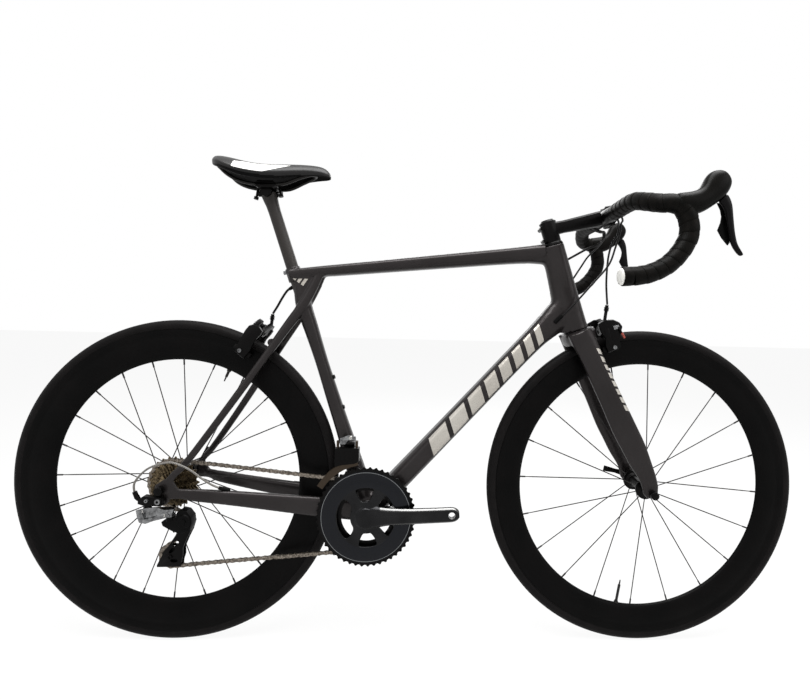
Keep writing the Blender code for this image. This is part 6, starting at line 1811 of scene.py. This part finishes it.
HOOD_Y = 0.2135
HOOD_ROWS = [
    (0.4420, 0.9118, 0.4460, 0.8780, 0.0174), (0.4560, 0.9134, 0.4610, 0.8762, 0.0180),
    (0.4710, 0.9156, 0.4770, 0.8755, 0.0180), (0.4850, 0.9195, 0.4880, 0.8776, 0.0176),
    (0.4930, 0.9275, 0.5000, 0.8835, 0.0170), (0.4970, 0.9390, 0.5130, 0.8924, 0.0166),
    (0.5025, 0.9480, 0.5250, 0.9014, 0.0168), (0.5110, 0.9538, 0.5350, 0.9113, 0.0166),
    (0.5223, 0.9558, 0.5418, 0.9240, 0.0146), (0.5320, 0.9520, 0.5433, 0.9360, 0.0095),
]
hood = lofted("hood_rubber_left", [(*row[:4], HOOD_Y, row[4]) for row in HOOD_ROWS], 16, 2.3)
modify(hood, "SUBSURF", levels=2, render_levels=2)
other_hood = mirror_copy(hood, "hood_rubber_right")
dress(hood, hood_rubber, "steering", "hood_rubber", ("brake_hood_left",), 60)
dress(other_hood, hood_rubber, "steering", "hood_rubber", ("brake_hood_right",), 60)
print("hood faces:", len(hood.data.polygons))

# %% [markdown]
# ## Brake levers
# A lever blade is forged and curved to the finger. Its sections follow the measured profile from the
# hood to the tip.

# %% Brake levers
# Lacquered aluminium: black and smooth, with a clear line of light down its front.
lever_black = new_material(
    "black_lacquered_aluminium", Base_Color=linear("#0c0b0c"), Metallic=0.4, Roughness=0.3,
    Specular_IOR_Level=0.12
)
raise_bumps(lever_black, 500.0, 2.0, 0.04, 0.0002)

LEVER_Y = 0.2150
LEVER_ROWS = [
    (0.5358, 0.9170, 0.5190, 0.9010, 0.0056), (0.5418, 0.9059, 0.5270, 0.8940, 0.0062),
    (0.5458, 0.8953, 0.5325, 0.8850, 0.0062), (0.5474, 0.8786, 0.5352, 0.8720, 0.0056),
    (0.5492, 0.8636, 0.5372, 0.8600, 0.0052), (0.5513, 0.8467, 0.5402, 0.8450, 0.0050),
    (0.5536, 0.8358, 0.5435, 0.8330, 0.0050), (0.5562, 0.8257, 0.5475, 0.8225, 0.0052),
    (0.5622, 0.8170, 0.5548, 0.8128, 0.0052), (0.5662, 0.8110, 0.5605, 0.8068, 0.0044),
    (0.5676, 0.8086, 0.5640, 0.8062, 0.0025),
]
lever = lofted("brake_lever_blade_left", [(*row[:4], LEVER_Y, row[4]) for row in LEVER_ROWS], 12, 2.4)
modify(lever, "SUBSURF", levels=2, render_levels=2)
other_lever = mirror_copy(lever, "brake_lever_blade_right")
dress(lever, lever_black, "brake_lever_left_body", "black_alloy", ("brake_lever_left",), 60)
dress(other_lever, lever_black, "brake_lever_right_body", "black_alloy", ("brake_lever_right",), 60)
print("lever faces:", len(lever.data.polygons))

# %% [markdown]
# ## Saddle
# A racing saddle is a padded shell: flat and broad at the back, narrow at the nose, with a drawn-in
# skirt. Sections across it have more points where it curves, and are then subdivided. Its white
# panel follows the crest, so two attributes say how far across and how far below the crest a point
# lies.

# %% Saddle shape
SADDLE_ROWS = [
    (-0.4325, 0.0160, 1.0160, 1.0060, 1.0000), (-0.4290, 0.0300, 1.0175, 1.0030, 0.9950),
    (-0.4235, 0.0410, 1.0175, 0.9990, 0.9900), (-0.4160, 0.0510, 1.0165, 0.9960, 0.9850),
    (-0.4050, 0.0600, 1.0150, 0.9920, 0.9800), (-0.3850, 0.0680, 1.0108, 0.9838, 0.9710),
    (-0.3600, 0.0690, 1.0052, 0.9762, 0.9630), (-0.3350, 0.0620, 1.0022, 0.9746, 0.9610),
    (-0.3100, 0.0520, 1.0026, 0.9770, 0.9630), (-0.2850, 0.0410, 1.0046, 0.9815, 0.9680),
    (-0.2600, 0.0315, 1.0062, 0.9864, 0.9740), (-0.2350, 0.0245, 1.0062, 0.9894, 0.9780),
    (-0.2130, 0.0205, 1.0046, 0.9890, 0.9800), (-0.2000, 0.0165, 0.9996, 0.9870, 0.9800),
    (-0.1935, 0.0110, 0.9925, 0.9855, 0.9805), (-0.1912, 0.0060, 0.9895, 0.9850, 0.9815),
]


def saddle_ring(x, half, crown, shoulder, low):
    """Half a section from the crown over the shoulder to the skirt and back under, and its mirror."""
    thick = min(0.0180, (crown - low) * 0.62)
    drop = crown - shoulder
    profile = [
        (0.0, crown - 0.0012), (0.10, crown - 0.0004), (0.22, crown), (0.36, crown - drop * 0.07),
        (0.58, crown - drop * 0.22), (0.78, crown - drop * 0.48), (0.93, crown - drop * 0.80),
        (1.0, shoulder), (0.985, (shoulder + low) / 2), (0.93, low), (0.86, low + 0.0002),
        (0.80, max(low + 0.003, crown - thick * 1.5)), (0.60, crown - thick * 1.10), (0.30, crown - thick),
    ]
    left_side = [Vector((x, half * s, z)) for s, z in profile]
    right_side = [Vector((x, -half * s, z)) for s, z in profile[:0:-1]]
    return left_side + [Vector((x, 0.0, crown - thick))] + right_side


saddle = skin("saddle_cover", [saddle_ring(*row) for row in SADDLE_ROWS])
modify(saddle, "SUBSURF", levels=2, render_levels=2)
print("saddle faces:", len(saddle.data.polygons))

# %% [markdown]
# ## Where the panels lie
# The panel's edges run along the saddle's own shape. Two numbers are worked out for each point: how
# far across it lies, and how far below the crest that shows from the side.

# %% Where each point of the saddle lies
RISE = 0.12
BIN = 0.006
points = [vertex.co.copy() for vertex in saddle.data.vertices]
crest = {}
for point in points:
    key = round(point.x / BIN)
    crest[key] = max(crest.get(key, -1.0), point.z + RISE * abs(point.y))


def half_width(x):
    """The saddle's half width at x, read off its rows."""
    for (low_x, low, *_), (high_x, high, *_) in zip(SADDLE_ROWS, SADDLE_ROWS[1:]):
        if x <= high_x:
            return low + (high - low) * min(max((x - low_x) / (high_x - low_x), 0.0), 1.0)
    return SADDLE_ROWS[-1][1]


def crest_height(x):
    """The height of the visible crest over x, between the bins on either side."""
    place = x / BIN
    low = math.floor(place)
    below = crest.get(low, crest.get(low + 1, 0.0))
    above = crest.get(low + 1, below)
    return below + (above - below) * (place - low)


store(saddle, "across", [abs(p.y) / max(half_width(p.x), 0.01) for p in points])
store(saddle, "below_crest", [crest_height(p.x) - p.z - RISE * abs(p.y) for p in points])
print("steps along the crest:", len(crest))

# %% [markdown]
# ## Saddle cover
# The cover is sewn from black and white pieces. A mask worked out from the stored numbers is sharper
# than a painted picture, and the underside gets the moulded shell's black plastic.

# %% Saddle cover
# Stitched synthetic leather: black with a fine grain, and a white panel on each side.
saddle_cover = new_material("black_and_white_saddle_cover", Roughness=0.42, Specular_IOR_Level=0.25)
PANEL_FROM = -0.375
PANEL_TO = -0.268
WELL_ACROSS = 0.55
# The panel's borders: from and to along the saddle, and the depth below the crest at each.
BORDERS = ((-0.374, -0.356, 0.0085, 0.0050), (-0.318, -0.268, 0.0225, 0.0046))

along = add_node(saddle_cover, "ShaderNodeSeparateXYZ", {0: object_place(saddle_cover)}).outputs["X"]
across, below_crest = [
    add_node(saddle_cover, "ShaderNodeAttribute", attribute_name=name).outputs["Fac"]
    for name in ("across", "below_crest")
]
upper, lower = [
    add_node(
        saddle_cover, "ShaderNodeMapRange", {"Value": along, 1: low_x, 2: high_x, 3: at_low, 4: at_high}
    ).outputs[0] for low_x,
    high_x, at_low, at_high in BORDERS
]
panel = inside(saddle_cover, (along, PANEL_FROM, PANEL_TO))
for value, operation, limit in (
    (below_crest, "GREATER_THAN", upper), (below_crest, "LESS_THAN", lower),
    (across, "GREATER_THAN", WELL_ACROSS)
):
    passed = add_node(saddle_cover, "ShaderNodeMath", {0: value, 1: limit}, operation=operation).outputs[0]
    panel = add_node(saddle_cover, "ShaderNodeMath", {0: panel, 1: passed}, operation="MULTIPLY").outputs[0]
feed(saddle_cover, mix(saddle_cover, panel, "#0c0b0b", "#d6d5d2"), "Base Color")
raise_bumps(saddle_cover, 1100.0, 3.0, 0.08, 0.0002)
dress(saddle, saddle_cover, "seatpost_body", "saddle_cover", ("saddle",), 60)
saddle.data.materials.append(black_moulding)
for face in saddle.data.polygons:
    if face.normal.z < -0.30:
        face.material_index = 1
print("faces under the saddle:", sum(face.material_index for face in saddle.data.polygons))

# %% [markdown]
# ## Seatpost and rails
# The post is bare matt carbon, whose weave shows as a faint check. Two steel rails hang under the
# saddle and pass through the post's clamp, which two bolts draw together.

post_carbon = new_material("matt_carbon_post", Roughness=0.45, Specular_IOR_Level=0.25)
checks = {"Scale": 420.0, "Color1": linear("#2b2725"), "Color2": linear("#1f1c1a")}
weave = add_node(post_carbon, "ShaderNodeTexChecker", {"Vector": object_place(post_carbon), **checks})
feed(post_carbon, weave.outputs["Color"], "Base Color")

# Up the post: height, half depth and half width.
POST_ROWS = (
    (0.7000, 0.0127, 0.0127), (0.9050, 0.0127, 0.0127), (0.9200, 0.0135, 0.0130),
    (0.9330, 0.0155, 0.0140), (0.9420, 0.0165, 0.0150),
)
post_rings = [
    oval(seat_axis(z), SEAT_UP.cross(SIDE) * deep, SIDE * wide, 48) for z, deep, wide in POST_ROWS
]
post = skin("seatpost_tube", post_rings)
barrel = bar("clamp_barrel", (-0.3215, -0.0200, 0.9460), (-0.3215, 0.0200, 0.9460), 0.0118, sides=48)
head_parts = [barrel]
for x, lean, drop in ((-0.3425, -0.004, 0.0), (-0.3000, 0.004, 0.0070)):
    head_parts.append(bar("clamp_bolt", (x + lean, 0.0, 0.9360 + drop), (x, 0.0, 0.9640), 0.0026))
    head_parts.append(
        bar("clamp_bolt_head", (x + lean * 1.4, 0.0, 0.9310 + drop), (x + lean, 0.0, 0.9370 + drop), 0.0048)
    )
    lug_foot = ((x - 0.3215) / 2, 0.0, 0.9440)
    head_parts.append(bar("clamp_lug", lug_foot, (x, 0.0, 0.9430), 0.0068, 0.0058))
CRADLE = [
    (-0.3420, 0.9540), (-0.3360, 0.9500), (-0.3050, 0.9500), (-0.2990, 0.9540), (-0.2990, 0.9585),
    (-0.3420, 0.9585)
]
CAP = [(-0.3400, 0.9600), (-0.3010, 0.9600), (-0.3040, 0.9650), (-0.3370, 0.9650)]
cradle = softened(plate("rail_cradle", CRADLE, -0.0290, 0.0290), 0.0010)
cap = softened(plate("rail_cap", CAP, -0.0285, 0.0285), 0.0010)
head = join("seatpost_head", cradle, cap, *head_parts)
dress(post, post_carbon, "seatpost_body", "carbon", ("seatpost",), 40)
dress(head, hub_black, "seatpost_body", "black_alloy", (), 32)
print("clamp pieces joined:", len(head_parts) + 2)

# %% [markdown]
# ## Saddle rails
# One steel rod is bent to a loop, from the rear sockets forward to the nose and back. A round section
# swept along that route is the same thing.

# %% Saddle rails
RAIL_RADIUS = 0.0035
RAIL_ROUTE = [
    (-0.4150, 0.0300, 0.9900), (-0.3969, 0.0270, 0.9740), (-0.3759, 0.0240, 0.9640),
    (-0.3500, 0.0220, 0.9590), (-0.3200, 0.0220, 0.9590), (-0.2846, 0.0220, 0.9600),
    (-0.2524, 0.0190, 0.9740), (-0.2300, 0.0130, 0.9830), (-0.2210, 0.0, 0.9850)
]
rail_rows = [(x, -y, z) for x, y, z in RAIL_ROUTE] + RAIL_ROUTE[-2::-1]
rail_path = [Vector(p) for p in smooth_rows(rail_rows, 0.005)]
rails = swept("saddle_rail_wire", rail_path, [RAIL_RADIUS] * len(rail_path), 20)
# Bent steel rod, plated dark: a thin smooth shine.
rail_steel = new_material("dark_rail_steel", Base_Color=linear("#1c1b1a"), Metallic=0.8, Roughness=0.32)
dress(rails, rail_steel, "seatpost_body", "black_alloy", ("saddle_rails",), 50)
print("rail points:", len(rail_path))

# %% [markdown]
# ## Cables
# Housings are plastic-covered steel coils: round, stiff and smooth. Each is swept along its route from
# under the tape. Those that cross from the bar to the frame ride on no body, so they stay in place when the
# bar turns.

# %% Cable housings
# Extruded plastic sleeves: half glossy, black, and light grey for the gear cable at the back.
black_housing = new_material(
    "black_cable_housing", Base_Color=linear("#0b0a0a"), Roughness=0.36, Specular_IOR_Level=0.14
)
grey_housing = new_material(
    "light_grey_cable_housing", Base_Color=linear("#6b6864"), Roughness=0.36, Specular_IOR_Level=0.35
)
for housing in (black_housing, grey_housing):
    raise_bumps(housing, 300.0, 2.0, 0.05, 0.0002)

CABLES = [
    (
        "front_brake_cable", "front_brake_housing", black_housing, "grey_housing", "steering", 0.0042,
        [
            (0.4100, -0.0560, 0.9010), (0.4170, -0.0450, 0.8960), (0.4200, -0.0340, 0.8930),
            (0.4215, -0.0310, 0.8760), (0.4120, -0.0250, 0.8560), (0.4055, -0.0240, 0.8300),
            (0.4020, -0.0260, 0.8000), (0.4003, -0.0285, 0.7700), (0.4010, -0.0305, 0.7450),
            (0.4025, -0.0310, 0.7252)
        ]
    ),
    (
        "rear_brake_cable_front", "rear_brake_housing_front", black_housing, "black_housing", None, 0.0050,
        [
            (0.4105, 0.0600, 0.9010), (0.4180, 0.0505, 0.8965), (0.4210, 0.0420, 0.8930),
            (0.4190, 0.0400, 0.8780), (0.4020, 0.0330, 0.8630), (0.3785, 0.0310, 0.8529),
            (0.3540, 0.0310, 0.8390), (0.3298, 0.0310, 0.8248), (0.3060, 0.0300, 0.8100),
            (0.2985, 0.0278, 0.8054), (0.2925, 0.0250, 0.8015)
        ]
    ),
    (
        "shift_cable_left", "shift_housing_left", black_housing, "black_housing", None, 0.0040,
        [
            (0.4130, 0.0760, 0.9025), (0.4205, 0.0670, 0.8975), (0.4230, 0.0560, 0.8940),
            (0.4200, 0.0530, 0.8750), (0.4050, 0.0430, 0.8580), (0.3812, 0.0350, 0.8352),
            (0.3640, 0.0320, 0.8100), (0.3465, 0.0310, 0.7831), (0.3270, 0.0300, 0.7560),
            (0.3080, 0.0250, 0.7330), (0.2980, 0.0190, 0.7210)
        ]
    ),
    (
        "shift_cable_right", "shift_housing_right", black_housing, "black_housing", None, 0.0040,
        [
            (0.4130, -0.0700, 0.9020), (0.4190, -0.0600, 0.8970), (0.4210, -0.0480, 0.8940),
            (0.4190, -0.0460, 0.8720), (0.4124, -0.0420, 0.8445), (0.4004, -0.0380, 0.8079),
            (0.3669, -0.0350, 0.7665), (0.3355, -0.0335, 0.7295), (0.3130, -0.0310, 0.7050),
            (0.3010, -0.0260, 0.6925), (0.2950, -0.0200, 0.6860)
        ]
    ),
    (
        "rear_brake_cable_rear", "rear_brake_housing_rear", black_housing, "black_housing", "frame", 0.0050,
        [
            (-0.2680, 0.0000, 0.7460), (-0.2765, 0.0000, 0.7400), (-0.2850, 0.0060, 0.7310),
            (-0.2945, 0.0150, 0.7195), (-0.3050, 0.0240, 0.7050), (-0.3130, 0.0300, 0.6950),
            (-0.3160, 0.0310, 0.6900)
        ]
    ),
    (
        "rear_shift_cable", "rear_shift_housing", grey_housing, "grey_housing", "frame", 0.0040,
        [
            (-0.3740, -0.0490, 0.3300), (-0.3830, -0.0540, 0.3345), (-0.3900, -0.0590, 0.3385),
            (-0.4010, -0.0640, 0.3460), (-0.4170, -0.0720, 0.3610), (-0.4340, -0.0760, 0.3760),
            (-0.4560, -0.0780, 0.3880), (-0.4790, -0.0785, 0.3923), (-0.5152, -0.0785, 0.3801),
            (-0.5395, -0.0785, 0.3543), (-0.5400, -0.0785, 0.3330), (-0.5335, -0.0785, 0.3220)
        ]
    ),
]
print("cable routes measured:", len(CABLES))

# %% [markdown]
# ## Sweeping the cables
# A housing keeps its diameter wherever it bends, so one round section is swept along each route. The ones
# that cross from the bar to the frame are left without a body.

# %% Swept cables
for name, node, finish, slot, body, diameter, rows in CABLES:
    path = [Vector(p) for p in smooth_rows(rows, 0.004)]
    cable = swept(name, path, [diameter / 2] * len(path), 16)
    if body:
        dress(cable, finish, body, slot, (node,), 50)
    else:
        pick(cable)
        bpy.ops.object.shade_smooth_by_angle(angle=math.radians(50))
        cable.data.materials.append(finish)
        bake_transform(cable)
        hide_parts(node)
print("cables:", len(CABLES))
